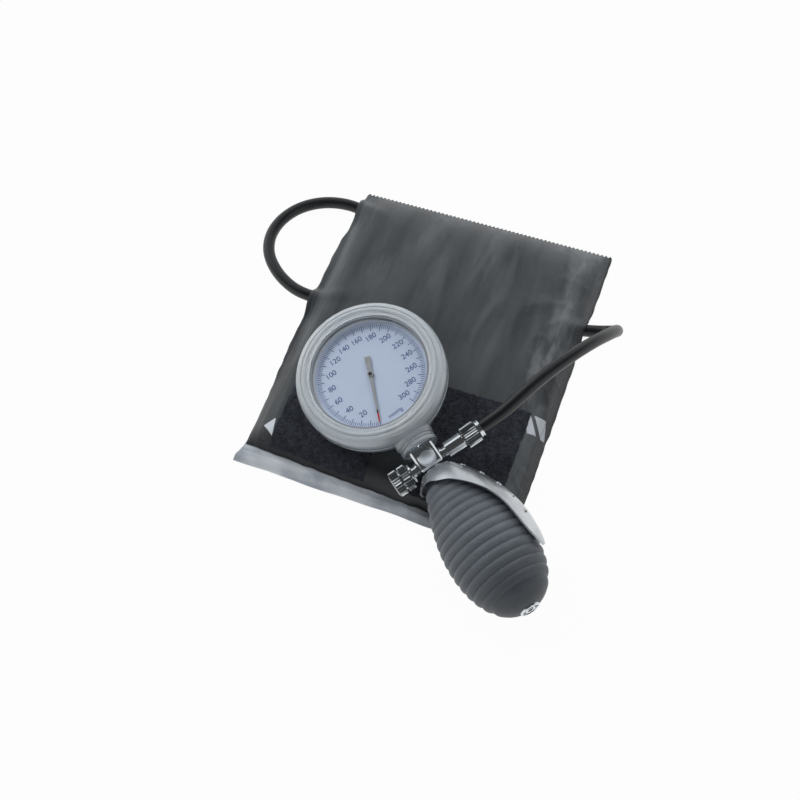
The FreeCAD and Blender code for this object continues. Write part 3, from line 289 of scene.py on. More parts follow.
def index_shape(finish, x, y, corners):
    """One where a spot lies inside a convex outline, given clockwise in mm."""
    inside = None
    for (ax, ay), (bx, by) in zip(corners, corners[1:] + corners[:1]):
        run = math.hypot(bx - ax, by - ay)
        nx, ny = (by - ay) / run, -(bx - ax) / run
        line = ax * nx + ay * ny
        side = finish.ramp(x * nx + y * ny, (line - PRINT_BLUR) * MM, (line + PRINT_BLUR) * MM)
        inside = side if inside is None else inside * side
    return inside


def nylon(name, marks_and_painted_sheen=True):
    finish = Finish(name)
    spot = finish.place()
    x, y, _ = finish.parts(spot)
    streaks = finish.cloud(finish.place((75, 10, 20)), 1.0, 3.0)
    clouds = finish.cloud(spot, 38.0, 3.0)
    ribs = finish.cloud(finish.place((40, 1500, 200)), 1.0, 2.0)
    weave = finish.tone.maths("SINE", x * 9000.0) * finish.tone.maths("SINE", y * 9000.0)
    # Painted sheen: the cloth is coloured lighter towards the panel's far end, where it catches the soft box
    far = finish.ramp(y, -0.07, 0.08)
    tint = finish.ramp(streaks * 0.7 + clouds * 0.3, 0.36, 0.62)
    dark = finish.mix(far, (0.011, 0.0125, 0.0138, 1), (0.029, 0.033, 0.036, 1))
    light = finish.mix(far, (0.030, 0.034, 0.037, 1), (0.066, 0.073, 0.079, 1))
    colour = finish.mix(tint * 0.85 + ribs * 0.15, dark, light)
    # Marks, hem and stitches, and painted sheen and highlights on the top panel
    if marks_and_painted_sheen:
        # Painted sheen: lighter streaks over the far part of the panel
        sheen_streak_noise = finish.cloud(finish.place((58, 13, 20), (0, 0, 0.1)), 1.0, 3.0, 0.6)
        painted_sheen_streaks = finish.ramp(sheen_streak_noise, 0.54, 0.7)
        colour = finish.mix(painted_sheen_streaks * far * 0.55, colour, (0.118, 0.129, 0.138, 1))
        # Painted sheen: lighter cloudy patches in a band along the right edge
        edge = finish.ramp(x, 0.036, 0.056) * (1 - finish.ramp(x, 0.064, 0.067))
        painted_sheen_patches = finish.ramp(finish.cloud(finish.place((110, 26, 60)), 1.0, 3.0), 0.36, 0.62)
        colour = finish.mix(edge * painted_sheen_patches * 0.75, colour, (0.118, 0.128, 0.136, 1))
        # Painted highlights: bright glints in the same band along the right edge
        satin = finish.cloud(finish.place((120, 30, 60), (0, 0, 0.3)), 1.0, 3.0, 0.6)
        glints = finish.ramp(satin, 0.5, 0.68)
        colour = finish.mix(edge * glints * 0.55, colour, (0.20, 0.21, 0.22, 1))
        # Painted highlights: light lines along the creases near the left edge
        folded = 1 - finish.ramp(x, -0.068, -0.054)
        crease_highlights = finish.ramp(finish.cloud(finish.place((420, 14, 60)), 1.0, 2.0), 0.42, 0.66)
        colour = finish.mix(folded * crease_highlights * 0.7, colour, (0.108, 0.118, 0.126, 1))
        colour = finish.mix(finish.ramp(y, -0.070, -0.083) * 0.8, colour, (0.010, 0.010, 0.012, 1))
        plate = index_shape(finish, x, y, INDEX_PLATE)
        bar = index_shape(finish, x, y, INDEX_BAR)
        arrow = index_shape(finish, x, y, INDEX_ARROW)
        ink = finish.tone.maths("MINIMUM", plate * (1 - bar) + arrow, 1.0)
        colour = finish.mix(ink * 0.92, colour, (0.66, 0.69, 0.74, 1))
        across, along, _ = finish.parts(finish.place(kind="UV"))
        hem = finish.ramp(across, 0.9905, 0.9935)
        thread = finish.ramp(finish.tone.maths("ABSOLUTE", across - 0.976), 0.0012, 0.0022, 1.0, 0.0)
        dashes = finish.tone.maths("SINE", along * 640.0) > -0.35
        colour = finish.mix(hem * 0.8, colour, (0.014, 0.014, 0.016, 1))
        colour = finish.mix(thread * dashes * 0.5, colour, (0.11, 0.113, 0.12, 1))
    shine = 0.3 + clouds * 0.16 + ribs * 0.06
    relief = weave * 0.2 + ribs * 0.5 + streaks * 2.4 + clouds * 1.2
    return finish.coat(Base_Color=colour, Roughness=shine, Normal=finish.bump(relief, 0.0003, 0.8),
                       Specular_IOR_Level=0.5)


def loop_pile():
    finish = Finish("fuzzy_loop_pile")
    spot = finish.place()
    fuzz = finish.cloud(spot, 1600.0, 3.0, 0.7)
    tufts = finish.cloud(spot, 420.0, 2.0)
    loops = finish.tone.node("TexVoronoi", None, {"Vector": spot, "Scale": 900.0}, "Distance")
    mottled = finish.ramp(fuzz * 0.6 + tufts * 0.4, 0.36, 0.68)
    colour = finish.mix(mottled, (0.011, 0.012, 0.015, 1), (0.048, 0.052, 0.064, 1))
    return finish.coat(Base_Color=colour, Roughness=0.95, Normal=finish.bump(loops + fuzz, 0.0006, 0.9),
                       Specular_IOR_Level=0.2, Sheen_Weight=0.12, Sheen_Roughness=0.6,
                       Sheen_Tint=(0.5, 0.55, 0.7, 1))


def lining_cloth():
    finish = Finish("pale_lining_cloth")
    spot = finish.place()
    x, y, _ = finish.parts(spot)
    weave = finish.tone.maths("SINE", x * 8000.0) * finish.tone.maths("SINE", y * 8000.0)
    clouds = finish.cloud(spot, 60.0, 3.0)
    streaks = finish.cloud(finish.place((30, 260, 60)), 1.0, 2.0)
    colour = finish.mix(finish.ramp(clouds * 0.6 + streaks * 0.4, 0.35, 0.65),
                        (0.31, 0.34, 0.385, 1), (0.58, 0.605, 0.64, 1))
    relief = weave * 0.3 + clouds * 1.2 + streaks
    return finish.coat(Base_Color=colour, Roughness=0.42 + clouds * 0.15,
                       Normal=finish.bump(relief, 0.0003, 0.6), Sheen_Weight=0.2)


def hook_tape():
    finish = Finish("hook_tape")
    spot = finish.place()
    hooks = finish.tone.node("TexVoronoi", None, {"Vector": spot, "Scale": 700.0}, "Distance")
    colour = finish.mix(finish.ramp(hooks, 0.1, 0.6), (0.06, 0.06, 0.066, 1), (0.02, 0.02, 0.023, 1))
    return finish.coat(Base_Color=colour, Roughness=0.6, Normal=finish.bump(hooks, 0.0008))


def rubber(name, colour, lighter, low, high, tail=None):
    """Rubber with a bloom of dust; with painted shade, darker between two places along the hand unit, when a
    tail is given.
    """
    finish = Finish(name)
    spot = finish.place()
    dust = finish.cloud(spot, 45.0, 4.0)
    speckle = finish.cloud(spot, 900.0, 3.0)
    tint = finish.mix(finish.ramp(dust * 0.7 + speckle * 0.3, 0.38, 0.64), colour, lighter)
    if tail:
        # Painted shade: the bulb is coloured darker towards its tail end
        along, _ = along_axis(finish, HANDSET)
        start, end = tail
        tint = finish.mix(finish.ramp(along, start * MM, end * MM, 0.0, 0.6), tint, (0.022, 0.025, 0.029, 1))
    return finish.coat(Base_Color=tint, Roughness=low + dust * (high - low),
                       Normal=finish.bump(speckle, 0.00005, 0.7))


def ring_plastic():
    finish = Finish("frosted_ring_plastic")
    spot = finish.place()
    haze = finish.cloud(spot, 40.0, 2.0)
    grain = finish.cloud(spot, 1200.0, 2.0)
    colour = finish.mix(finish.ramp(haze, 0.35, 0.65), (0.87, 0.93, 0.98, 1), (0.93, 0.97, 1.0, 1))
    # Painted shade: the neck is coloured darker, for the dark stem showing through the plastic
    along, _ = along_axis(finish, HANDSET)
    colour = finish.mix(finish.ramp(along, 0.034, 0.040, 0.0, 0.7), colour, (0.42, 0.46, 0.50, 1))
    return finish.coat(Base_Color=colour, Roughness=0.12 + haze * 0.04, Transmission_Weight=0.62, IOR=1.42,
                       Normal=finish.bump(grain, 0.00002, 0.5), Coat_Weight=0.8, Coat_Roughness=0.07)


def plain_metal(name, colour, lighter, low, high, brush=(1, 1, 1), angle=(0, 0, 0), depth=0.00002):
    finish = Finish(name)
    smudge = finish.cloud(finish.place(), 90.0, 3.0)
    strokes = finish.cloud(finish.place(brush, angle), 900.0, 3.0)
    tint = finish.mix(finish.ramp(smudge * 0.6 + strokes * 0.4, 0.35, 0.65), colour, lighter)
    return finish.coat(Base_Color=tint, Metallic=1.0, Roughness=low + strokes * (high - low),
                       Normal=finish.bump(strokes, depth, 0.6))


def dished_chrome():
    """Bright chrome block whose thumb dish is ground satin."""
    finish = Finish("dished_block_chrome")
    spot = finish.place()
    middle = (HANDSET @ shift(*DISH_MIDDLE)).translation
    away = finish.tone.node("VectorMath", {"operation": "DISTANCE"}, {0: spot, 1: middle}, "Value")
    dish = finish.ramp(away, (DISH_RADIUS + 0.1) * MM, (DISH_RADIUS - 0.2) * MM)
    smudge = finish.cloud(spot, 90.0, 3.0)
    grain = finish.cloud(spot, 900.0, 3.0)
    plate = finish.mix(smudge, grey(0.62, 0.035), grey(0.74, 0.035))
    colour = finish.mix(dish, plate, grey(0.84, 0.05))
    return finish.coat(Base_Color=colour, Metallic=1.0, Roughness=0.1 + grain * 0.06 + dish * 0.34,
                       Normal=finish.bump(grain, 0.000005, 0.6))


def knurl_chrome(name, where, rim, shade):
    """Bright chrome of a turned grip, dark in the flutes of its rim."""
    finish = Finish(name)
    along, offset = along_axis(finish, where)
    reach = finish.tone.node("VectorMath", {"operation": "LENGTH"}, {0: offset}, "Value")
    radius = finish.tone.maths("SQRT", reach * reach - along * along)
    pressed = finish.ramp(radius, (rim - 0.12) * MM, (rim - 0.42) * MM)
    flute = pressed * finish.ramp(radius, (rim - 0.9) * MM, (rim - 0.6) * MM)
    smudge = finish.cloud(finish.place(), 90.0, 3.0)
    plate = finish.mix(smudge, grey(0.56, 0.035), grey(0.66, 0.035))
    colour = finish.mix(flute, plate, grey(shade))
    return finish.coat(Base_Color=colour, Metallic=1.0, Roughness=0.1 + flute * 0.3)


def gloss(name, colour, lighter, low=0.25, high=0.4):
    finish = Finish(name)
    spot = finish.place()
    mottle = finish.cloud(spot, 160.0, 3.0)
    grain = finish.cloud(spot, 2200.0, 2.0)
    return finish.coat(Base_Color=finish.mix(mottle, colour, lighter), Roughness=low + mottle * (high - low),
                       Normal=finish.bump(grain, 0.00002, 0.5))


def window_glass():
    finish = Finish("clear_window")
    smear = finish.cloud(finish.place(), 60.0, 3.0)
    return finish.coat(Base_Color=(0.2, 0.21, 0.23, 1), Roughness=0.04 + smear * 0.06, Alpha=0.06, IOR=1.45)


# Where along the needle its dark band and its red tip begin, in metres
NEEDLE_BAND = (0.0186, 0.0188)
NEEDLE_TIP = (0.0204, 0.0206)


def needle_paint():
    """Silver needle with a dark band and a red tip towards its end."""
    finish = Finish("needle_paint")
    reach, _ = along_axis(finish, GAUGE @ turn(DIAL_ZERO, "Z"))
    smudge = finish.cloud(finish.place(), 400.0, 3.0)
    silver = finish.mix(smudge, (0.33, 0.335, 0.345, 1), (0.50, 0.505, 0.515, 1))
    dark = finish.mix(finish.ramp(reach, *NEEDLE_BAND), silver, (0.035, 0.03, 0.045, 1))
    colour = finish.mix(finish.ramp(reach, *NEEDLE_TIP), dark, (0.55, 0.02, 0.03, 1))
    metal = 0.35 - finish.ramp(reach, *NEEDLE_BAND, 0.0, 0.35)
    return finish.coat(Base_Color=colour, Metallic=metal, Roughness=0.3 + smudge * 0.12)


HAND_ANGLE = (0, 0, math.radians(38.7))
# Where the painted shade on the bulb runs along the hand unit, in mm
BULB_SHADED_TAIL = (108, 134)
FINISHES = {
    "cuff_nylon": nylon("cuff_nylon_cloth"),
    "inner_folds": nylon("folded_nylon_cloth", marks_and_painted_sheen=False),
    "loop_pile": loop_pile(),
    "lining_cloth": lining_cloth(),
    "hook_tape": hook_tape(),
    "black_rubber": rubber("smooth_black_rubber", (0.005, 0.0054, 0.006, 1), (0.010, 0.0106, 0.0114, 1),
                           0.28, 0.46),
    "bulb_rubber": rubber("matt_grey_rubber", (0.092, 0.104, 0.119, 1), (0.126, 0.140, 0.158, 1),
                          0.42, 0.58, BULB_SHADED_TAIL),
    "soft_seal": rubber("soft_black_seal", (0.03, 0.03, 0.03, 1), (0.06, 0.06, 0.06, 1), 0.5, 0.7),
    "ring_plastic": ring_plastic(),
    "case_metal": plain_metal("satin_case_metal", grey(0.70, 0.02), grey(0.80, 0.02), 0.22, 0.36),
    "white_plastic": gloss("white_spacer_plastic", (0.80, 0.82, 0.85, 1), (0.86, 0.88, 0.90, 1)),
    "dial_print": gloss("pale_dial_print", (0.52, 0.61, 0.77, 1), (0.58, 0.67, 0.83, 1), 0.4, 0.5),
    "clear_window": window_glass(),
    "needle_paint": needle_paint(),
    "movement_brass": plain_metal("movement_brass", (0.62, 0.44, 0.17, 1), (0.80, 0.62, 0.30, 1), 0.2, 0.34),
    "spring_steel": plain_metal("spring_steel", grey(0.45, 0.02), grey(0.62, 0.02), 0.2, 0.3),
    "bright_chrome": plain_metal("bright_chrome", grey(0.62, 0.035), grey(0.72, 0.035), 0.09, 0.16,
                                 depth=0.000004),
    "satin_chrome": plain_metal("satin_chrome", grey(0.50, 0.035), grey(0.62, 0.035), 0.24, 0.36,
                                (0.06, 1, 1), HAND_ANGLE, 0.000012),
}
DIAL_INK = gloss("blue_dial_ink", (0.006, 0.022, 0.19, 1), (0.010, 0.032, 0.24, 1), 0.5, 0.6)
DARK_STEEL = plain_metal("dark_steel", grey(0.05), grey(0.09), 0.25, 0.4)
OWN_FINISHES = {
    "bezel_ring": gloss("grey_bezel_paint", (0.20, 0.22, 0.25, 1), (0.26, 0.28, 0.31, 1), 0.3, 0.45),
    "manifold_block": dished_chrome(),
}
slot_of = {piece["node"]: piece["material_slot"] for piece in frame["record"]["subparts"]}
for name, node in frame["nodes"].items():
    for holder in node.material_slots:
        holder.material = OWN_FINISHES.get(name) or FINISHES[slot_of[name]]


# Modelling

def clear_selection():
    if bpy.context.object and bpy.context.object.mode != "OBJECT":
        bpy.ops.object.mode_set(mode="OBJECT")
    bpy.ops.object.select_all(action="DESELECT")


def only(piece):
    clear_selection()
    piece.select_set(True)
    bpy.context.view_layer.objects.active = piece


def named(name):
    """The primitive that was just added, under its piece's name."""
    piece = bpy.context.object
    piece.name = piece.data.name = name
    return piece


def settle(piece, where):
    """Puts the piece in its frame, with its place in its mesh."""
    only(piece)
    piece.matrix_world = where
    bpy.ops.object.transform_apply(location=True, rotation=True, scale=True)


def applied(piece, kind, **settings):
    only(piece)
    modifier = piece.modifiers.new(kind.lower(), kind)
    for key, value in settings.items():
        setattr(modifier, key, value)
    bpy.ops.object.modifier_apply(modifier=modifier.name)


def smooth(piece, degrees=None):
    only(piece)
    if degrees is None:
        bpy.ops.object.shade_smooth()
    else:
        bpy.ops.object.shade_smooth_by_angle(angle=math.radians(degrees))


def hand_over(piece, slot, body=SET, instead_of=(), finish=None):
    """The piece's finish, the body that it rides on and the solids that it stands for."""
    piece.data.materials.clear()
    piece.data.materials.append(finish or FINISHES[slot])
    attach(piece, body)
    if instead_of:
        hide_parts(*instead_of)


def joined(pieces, name):
    """Several pieces made one, under its own name."""
    clear_selection()
    for piece in pieces:
        piece.select_set(True)
    bpy.context.view_layer.objects.active = pieces[0]
    bpy.ops.object.join()
    return named(name)


def spun(name, outline, steps):
    """Piece turned round X from (along, radius) points in mm."""
    clear_selection()
    bpy.ops.mesh.primitive_plane_add(size=MM)
    piece = named(name)
    bpy.ops.object.mode_set(mode="EDIT")
    bpy.ops.mesh.select_all(action="SELECT")
    bpy.ops.mesh.merge(type="CENTER")
    bpy.ops.transform.translate(value=(outline[0][0] * MM, outline[0][1] * MM, 0))
    for (a, r), (b, s) in zip(outline, outline[1:]):
        bpy.ops.mesh.extrude_vertices_move(TRANSFORM_OT_translate={"value": ((b - a) * MM, (s - r) * MM, 0)})
    bpy.ops.mesh.select_all(action="SELECT")
    bpy.ops.mesh.spin(steps=steps, angle=math.tau, center=(0, 0, 0), axis=(1, 0, 0))
    bpy.ops.mesh.select_all(action="SELECT")
    bpy.ops.mesh.remove_doubles(threshold=1e-6)
    bpy.ops.mesh.normals_make_consistent(inside=False)
    bpy.ops.object.mode_set(mode="OBJECT")
    return piece


# Hose

def lay_hose():
    line = bpy.data.curves.new("air_hose_tube", "CURVE")
    line.dimensions = "3D"
    run = line.splines.new("NURBS")
    run.points.add(len(HOSE_ROUTE) - 1)
    for point, spot in zip(run.points, HOSE_ROUTE):
        point.co = (*(Vector(spot) * MM), 1)
    run.order_u = 3
    run.use_endpoint_u = True
    run.resolution_u = 10
    line.bevel_depth = HOSE_DIAMETER / 2 * MM
    line.bevel_resolution = 7
    line.use_fill_caps = True
    hose = bpy.data.objects.new("air_hose_tube", line)
    bpy.context.scene.collection.objects.link(hose)
    hand_over(hose, "black_rubber", instead_of=["air_hose"])


lay_hose()


# Folded cuff

# Top panel: half its width, its height, and how far and how roundly it rises from its hem
HALF_WIDTH = 70.0
PANEL_TOP = 10.3
HEM_HEIGHT = 0.95
SIDE_ROUND = 16.0
NEAR_ROUND = 11.0
FAR_ROUND = 26.0
ROUNDING = 2.3
# Cloth thicknesses
NYLON_CLOTH = 0.45
LINING_CLOTH = 0.4
PILE_CLOTH = 0.6
HOOK_CLOTH = 0.9
# How far the panel's left edge bows out, and the teeth of its pinked far edge
LEFT_BOW = 2.4
PINKING = 0.6
# Lining: half its width, its near and far edges, and how high its showing strip puffs up
LINING_HALF = 68.6
LINING_NEAR = -94.4
LINING_FAR = 86.2
STRIP_HEIGHT = 1.5
# Share of a sheet from which on a point counts as its edge
AT_EDGE = 0.9999
# Where the hose passes under the hem: x, y, and how the way leans
MOUTHS = [(-68.0, 8.6, 0.2), (69.0, 36.6, 0.27), (-70.0, 74.2, -0.3)]
# How high and wide the hose lifts the panel there, how far in, and how softly that ends
LIFT_HEIGHT = 8.5
LIFT_WIDTH = 7.5
LIFT_REACH = 24
LIFT_FADE = 5


def near_hem(x):
    return -84.0 - 0.058 * (x + 68)


def far_hem(x):
    return 88.9 + 0.02 * x


def rise(distance, reach):
    share = min(1.0, max(0.0, distance / reach))
    return 1 - (1 - share) ** ROUNDING


def hose_lift(x, y):
    lift = 0.0
    for edge, middle, slant in MOUTHS:
        inward = (x - edge) * (1 if edge < 0 else -1)
        off = y - middle - slant * (x - edge)
        fade = 1 + math.exp((inward - LIFT_REACH) / LIFT_FADE)
        lift += LIFT_HEIGHT * math.exp(-(off / LIFT_WIDTH) ** 2) / fade
    return lift


def blend_in(value, low, high):
    share = min(1.0, max(0.0, (value - low) / (high - low)))
    return share * share * (3 - 2 * share)


def wrinkles(x, y):
    streaks = noise.noise(Vector((x * 0.055, y * 0.011, 0.3)))
    soft = noise.noise(Vector((x * 0.024, y * 0.032, 4.7)))
    fine = noise.noise(Vector((x * 0.17, y * 0.05, 9.1)))
    crease = max(0.0, 1 - 8 * abs(noise.noise(Vector((x * 0.036 + y * 0.006, y * 0.013, 7.3)))))
    crumple = max(0.0, 1 - 5 * abs(noise.noise(Vector((x * 0.11 + y * 0.05, y * 0.06 - x * 0.03, 2.9)))))
    loose = max(blend_in(y, -8, 14), blend_in(abs(x), 58, 66))
    folds = (1.1 * streaks + 0.8 * soft + 0.3 * fine + 0.9 * crease) * (0.08 + 0.92 * loose)
    calm = 1 - 0.6 * blend_in(-y, 20, 24) * blend_in(61 - x, 0, 2)
    return folds + 0.8 * crumple * blend_in(x, 40, 56) * calm


def panel_height(x, y):
    sides = rise(HALF_WIDTH - abs(x), SIDE_ROUND)
    ends = rise(far_hem(x) - y, FAR_ROUND) * rise(y - near_hem(x), NEAR_ROUND)
    crown = HEM_HEIGHT + (PANEL_TOP - HEM_HEIGHT) * sides * ends
    height = (crown ** 4 + hose_lift(x, y) ** 4) ** 0.25
    return max(HEM_HEIGHT, height + wrinkles(x, y) * sides * ends)


def cloth(name, columns, rows, spot_of):
    """Sheet of cloth from a flat grid whose corners are moved to their places, in mm."""
    clear_selection()
    bpy.ops.mesh.primitive_grid_add(x_subdivisions=columns, y_subdivisions=rows, size=2)
    sheet = named(name)
    for corner in sheet.data.vertices:
        corner.co = Vector(spot_of(corner.co.x, corner.co.y)) * MM
    return sheet


def sew_panel():
    columns, rows = 124, 168

    def spot(u, v):
        x = HALF_WIDTH * u
        low, high = near_hem(x), far_hem(x)
        y = low + (high - low) * (v + 1) / 2
        pull = abs(u) ** 12
        x -= LEFT_BOW * max(0.0, -u) ** 6 * math.exp(-((y - 6) / 56) ** 4)
        ruffle = noise.noise(Vector((y * 0.16, u, 2.2)))
        sway = noise.noise(Vector((y * 0.03, u, 5.2)))
        x += pull * (0.5 * ruffle + 1.1 * sway)
        z = panel_height(x, y)
        if v > AT_EDGE:
            y += PINKING if round((u + 1) / 2 * columns) % 2 else -PINKING
        if v < -AT_EDGE:
            y += 0.5 * noise.noise(Vector((x * 0.2, 7.7, 0)))
        return x, y, z

    panel = cloth("cuff_panel_cloth", columns, rows, spot)
    applied(panel, "SOLIDIFY", thickness=NYLON_CLOTH * MM, offset=-1)
    smooth(panel, 60)
    hand_over(panel, "cuff_nylon", instead_of=["cuff_top_panel"])


def sew_lining():
    def spot(u, v):
        x = LINING_HALF * u
        near = LINING_NEAR - 0.022 * (x + 72) + 0.9 * noise.noise(Vector((x * 0.05, 1.1, 0)))
        y = near + (LINING_FAR - near) * (v + 1) / 2
        x += u * (2.0 if u < 0 else 1.6) * (1 - blend_in(y, near_hem(x) - 1, near_hem(x) + 9))
        x -= 1.8 * max(0.0, -u) ** 6 * (1 - blend_in(y, near, near + 9))
        strip = blend_in(y, near, near + 4.0) * (1 - blend_in(y, near_hem(x) - 4.0, near_hem(x)))
        ridge = max(0.0, 1 - 6 * abs(noise.noise(Vector((x * 0.045 + y * 0.06, y * 0.05, 6.1)))))
        ripple = 1 + 0.8 * noise.noise(Vector((x * 0.09, y * 0.03, 3.3))) + 0.8 * ridge
        return x, y, 0.45 + STRIP_HEIGHT * strip * ripple

    lining = cloth("cuff_lining_cloth", 90, 150, spot)
    applied(lining, "SOLIDIFY", thickness=LINING_CLOTH * MM, offset=-1)
    smooth(lining, 60)
    hand_over(lining, "lining_cloth", instead_of=["cuff_lining"])


# What a loop patch gains on its flat length where it runs down the cuff's near slope
SLOPE_LENGTH = 3.8


def sew_pile(name, left, right, margin, far, instead_of=()):
    near = near_hem((left + right) / 2) + margin

    def spot(u, v):
        x = (left + right) / 2 + (right - left) / 2 * u
        low = near_hem(x) + margin
        y = low + (far - low) * (v + 1) / 2
        rim = max(abs(u), abs(v)) > AT_EDGE
        x += 0.5 * noise.noise(Vector((y * 0.4, left, 0.5))) * (abs(u) > AT_EDGE)
        y += 0.5 * noise.noise(Vector((x * 0.4, near, 1.5))) * (abs(v) > AT_EDGE)
        fuzz = 0.12 * noise.noise(Vector((x * 1.1, y * 1.1, 2.5)))
        return x, y, panel_height(x, y) + (0.35 if rim else 0.72 + fuzz)

    pile = cloth(name, int((right - left) * 1.6), int((far - near) * 1.6), spot)
    applied(pile, "SOLIDIFY", thickness=PILE_CLOTH * MM, offset=-1)
    smooth(pile, 70)
    hand_over(pile, "loop_pile", instead_of=instead_of)
    (far - near + SLOPE_LENGTH) * MM


def stuffed(name, slot, spot_of, low, high, node):
    """Closed soft layer with rounded rims, from a cube cut fine in edit mode."""
    clear_selection()
    bpy.ops.mesh.primitive_cube_add(size=2)
    layer = named(name)
    bpy.ops.object.mode_set(mode="EDIT")
    bpy.ops.mesh.select_all(action="SELECT")
    bpy.ops.mesh.subdivide(number_cuts=27)
    bpy.ops.object.mode_set(mode="OBJECT")
    for corner in layer.data.vertices:
        u, v, w = corner.co
        full = (1 - abs(u) ** 10) ** 0.5 * (1 - abs(v) ** 10) ** 0.5
        x, y = spot_of(u, v)
        dip = 0.25 * noise.noise(Vector((x * 0.05, y * 0.05, w)))
        puff = w * (high - low) / 2 * (0.25 + 0.75 * full) * (0.97 + dip * 0.1)
        corner.co = Vector((x, y, (low + high) / 2 + puff)) * MM
    smooth(layer)
    hand_over(layer, slot, instead_of=[node])


# Slot for the hose between the two folded layers, and the far left corner that is cut out for its loop
SLOT_MIDDLE = 23.4
SLOT_SLOPE = math.tan(math.radians(12))
SLOT_HALF = 7.0
FOLD_HALF = 62.5
FOLD_NEAR = -81.5
FOLD_FAR = 78.5
CORNER_X = -36
CORNER_Y = 50
# Bladder and hook strip: half their sizes, and where the strip lies
BLADDER_HALF_X = 54.0
BLADDER_HALF_Y = 71.0
HOOK_HALF_X = 49.5
HOOK_HALF_Y = 22.0
HOOK_MIDDLE = -52.0
HOOK_TOP = 1.9


def near_fold_spot(u, v):
    x = FOLD_HALF * u
    low, high = FOLD_NEAR, SLOT_MIDDLE + SLOT_SLOPE * x - SLOT_HALF
    return x, low + (high - low) * (v + 1) / 2


def far_fold_spot(u, v):
    x = FOLD_HALF * u
    low, high = SLOT_MIDDLE + SLOT_SLOPE * x + SLOT_HALF, FOLD_FAR
    y = low + (high - low) * (v + 1) / 2
    if x < CORNER_X and y > CORNER_Y:
        y = CORNER_Y + (y - CORNER_Y) * 0.02
    return x, y


def bladder_spot(u, v):
    x = BLADDER_HALF_X * u * (1 - 0.02 * (1 - v * v))
    y = BLADDER_HALF_Y * v * (1 - 0.015 * (1 - u * u))
    return x, y


def hook_spot(u, v):
    return HOOK_HALF_X * u, HOOK_MIDDLE + HOOK_HALF_Y * v, HOOK_TOP


def sew_inside():
    stuffed("near_cuff_fold", "inner_folds", near_fold_spot, 2.1, 7.4, "cuff_near_fold")
    stuffed("far_cuff_fold", "inner_folds", far_fold_spot, 0.95, 7.4, "cuff_far_fold")
    stuffed("rubber_bladder", "black_rubber", bladder_spot, 7.65, 9.2, "air_bladder")
    hooks = cloth("hook_tape_strip", 50, 24, hook_spot)
    applied(hooks, "SOLIDIFY", thickness=HOOK_CLOTH * MM, offset=-1)
    smooth(hooks, 60)
    hand_over(hooks, "hook_tape", instead_of=["hook_strip"])


# Gauge

RING_OUTLINE = [
    (9.56, 29.2), (10.0, 29.2), (10.3, 29.4), (10.4, 29.8), (10.3, 30.2), (9.9, 30.45), (9.85, 30.75),
    (10.4, 31.0), (11.1, 31.4), (11.4, 32.0), (11.3, 32.6), (10.9, 33.0), (10.3, 33.2), (10.25, 33.4),
    (10.7, 33.6), (10.75, 33.9), (10.5, 34.5), (9.95, 35.2), (9.45, 35.4), (9.4, 35.6), (9.35, 35.9),
    (8.6, 36.2), (7.9, 36.3), (7.5, 36.6), (5.6, 37.0), (3.2, 37.1), (1.2, 37.05), (0.8, 36.7),
    (0.2, 36.65), (-0.2, 36.95), (-3.4, 36.4), (-6.6, 35.5), (-9.4, 34.4), (-11.2, 33.2), (-12.1, 32.2),
    (-12.2, 31.0), (-12.2, 29.4), (-10.9, 29.3), (-10.9, 31.46), (9.56, 31.46), (9.56, 29.2),
]
NECK_OUTLINE = [
    (33.0, 5.3), (33.0, 10.2), (37.4, 10.0), (38.2, 9.5), (38.7, 9.5), (39.0, 9.0), (39.5, 9.0), (39.8, 9.5),
    (40.4, 9.5), (40.7, 9.0), (41.2, 9.0), (41.5, 9.5), (42.4, 9.5), (42.8, 9.1), (42.8, 5.3), (33.0, 5.3),
]
STEM_BORE = [(30.0, 0), (30.0, 5.3), (43.2, 5.3), (43.2, 0)]


def joined_with(piece, tool, operation):
    applied(piece, "BOOLEAN", operation=operation, object=tool, solver="EXACT")
    bpy.data.objects.remove(tool)


def mould_ring():
    ring = spun("soft_shock_ring", RING_OUTLINE, 144)
    settle(ring, STANDING)
    tools = (("ring_neck", NECK_OUTLINE, "UNION"), ("stem_bore", STEM_BORE, "DIFFERENCE"))
    for name, outline, operation in tools:
        tool = spun(name, outline, 72)
        settle(tool, shift(0, 0, STEM_DROP))
        joined_with(ring, tool, operation)
    settle(ring, GAUGE)
    smooth(ring, 40)
    hand_over(ring, "ring_plastic", instead_of=["shock_ring"])


PRINT_LOW = 4.505
PRINT_THICKNESS = 0.02
# Ticks as (inner radius, outer radius, width), figures as their height and how far out they stand
FINE_TICKS = (24.5, 26.7, 0.24)
LONG_TICKS = (23.2, 26.7, 0.34)
FIGURE_HEIGHT = 3.9
FIGURE_REACH = 19.9
UNIT_HEIGHT = 2.9
UNIT_SPOT = (23.4, -0.35)
FIGURE_LIFT = 0.03
FIGURE_BEVEL = 0.012


def scale_ticks(name, steps, inner, outer, width):
    """Equal marks round the dial, from one bar that is spun on."""
    clear_selection()
    bpy.ops.mesh.primitive_cube_add(size=MM)
    ticks = named(name)
    bpy.ops.object.mode_set(mode="EDIT")
    bpy.ops.mesh.select_all(action="SELECT")
    bpy.ops.transform.resize(value=(outer - inner, width, PRINT_THICKNESS))
    bpy.ops.transform.translate(value=((inner + outer) / 2 * MM, 0, (PRINT_LOW + PRINT_THICKNESS / 2) * MM))
    bpy.ops.mesh.spin(steps=steps, dupli=True, angle=math.radians(DIAL_SWEEP),
                      center=(0, 0, 0), axis=(0, 0, 1))
    bpy.ops.mesh.select_all(action="SELECT")
    bpy.ops.mesh.normals_make_consistent(inside=False)
    bpy.ops.object.mode_set(mode="OBJECT")
    settle(ticks, GAUGE @ turn(DIAL_ZERO, "Z"))
    hand_over(ticks, "dial_print", finish=DIAL_INK)


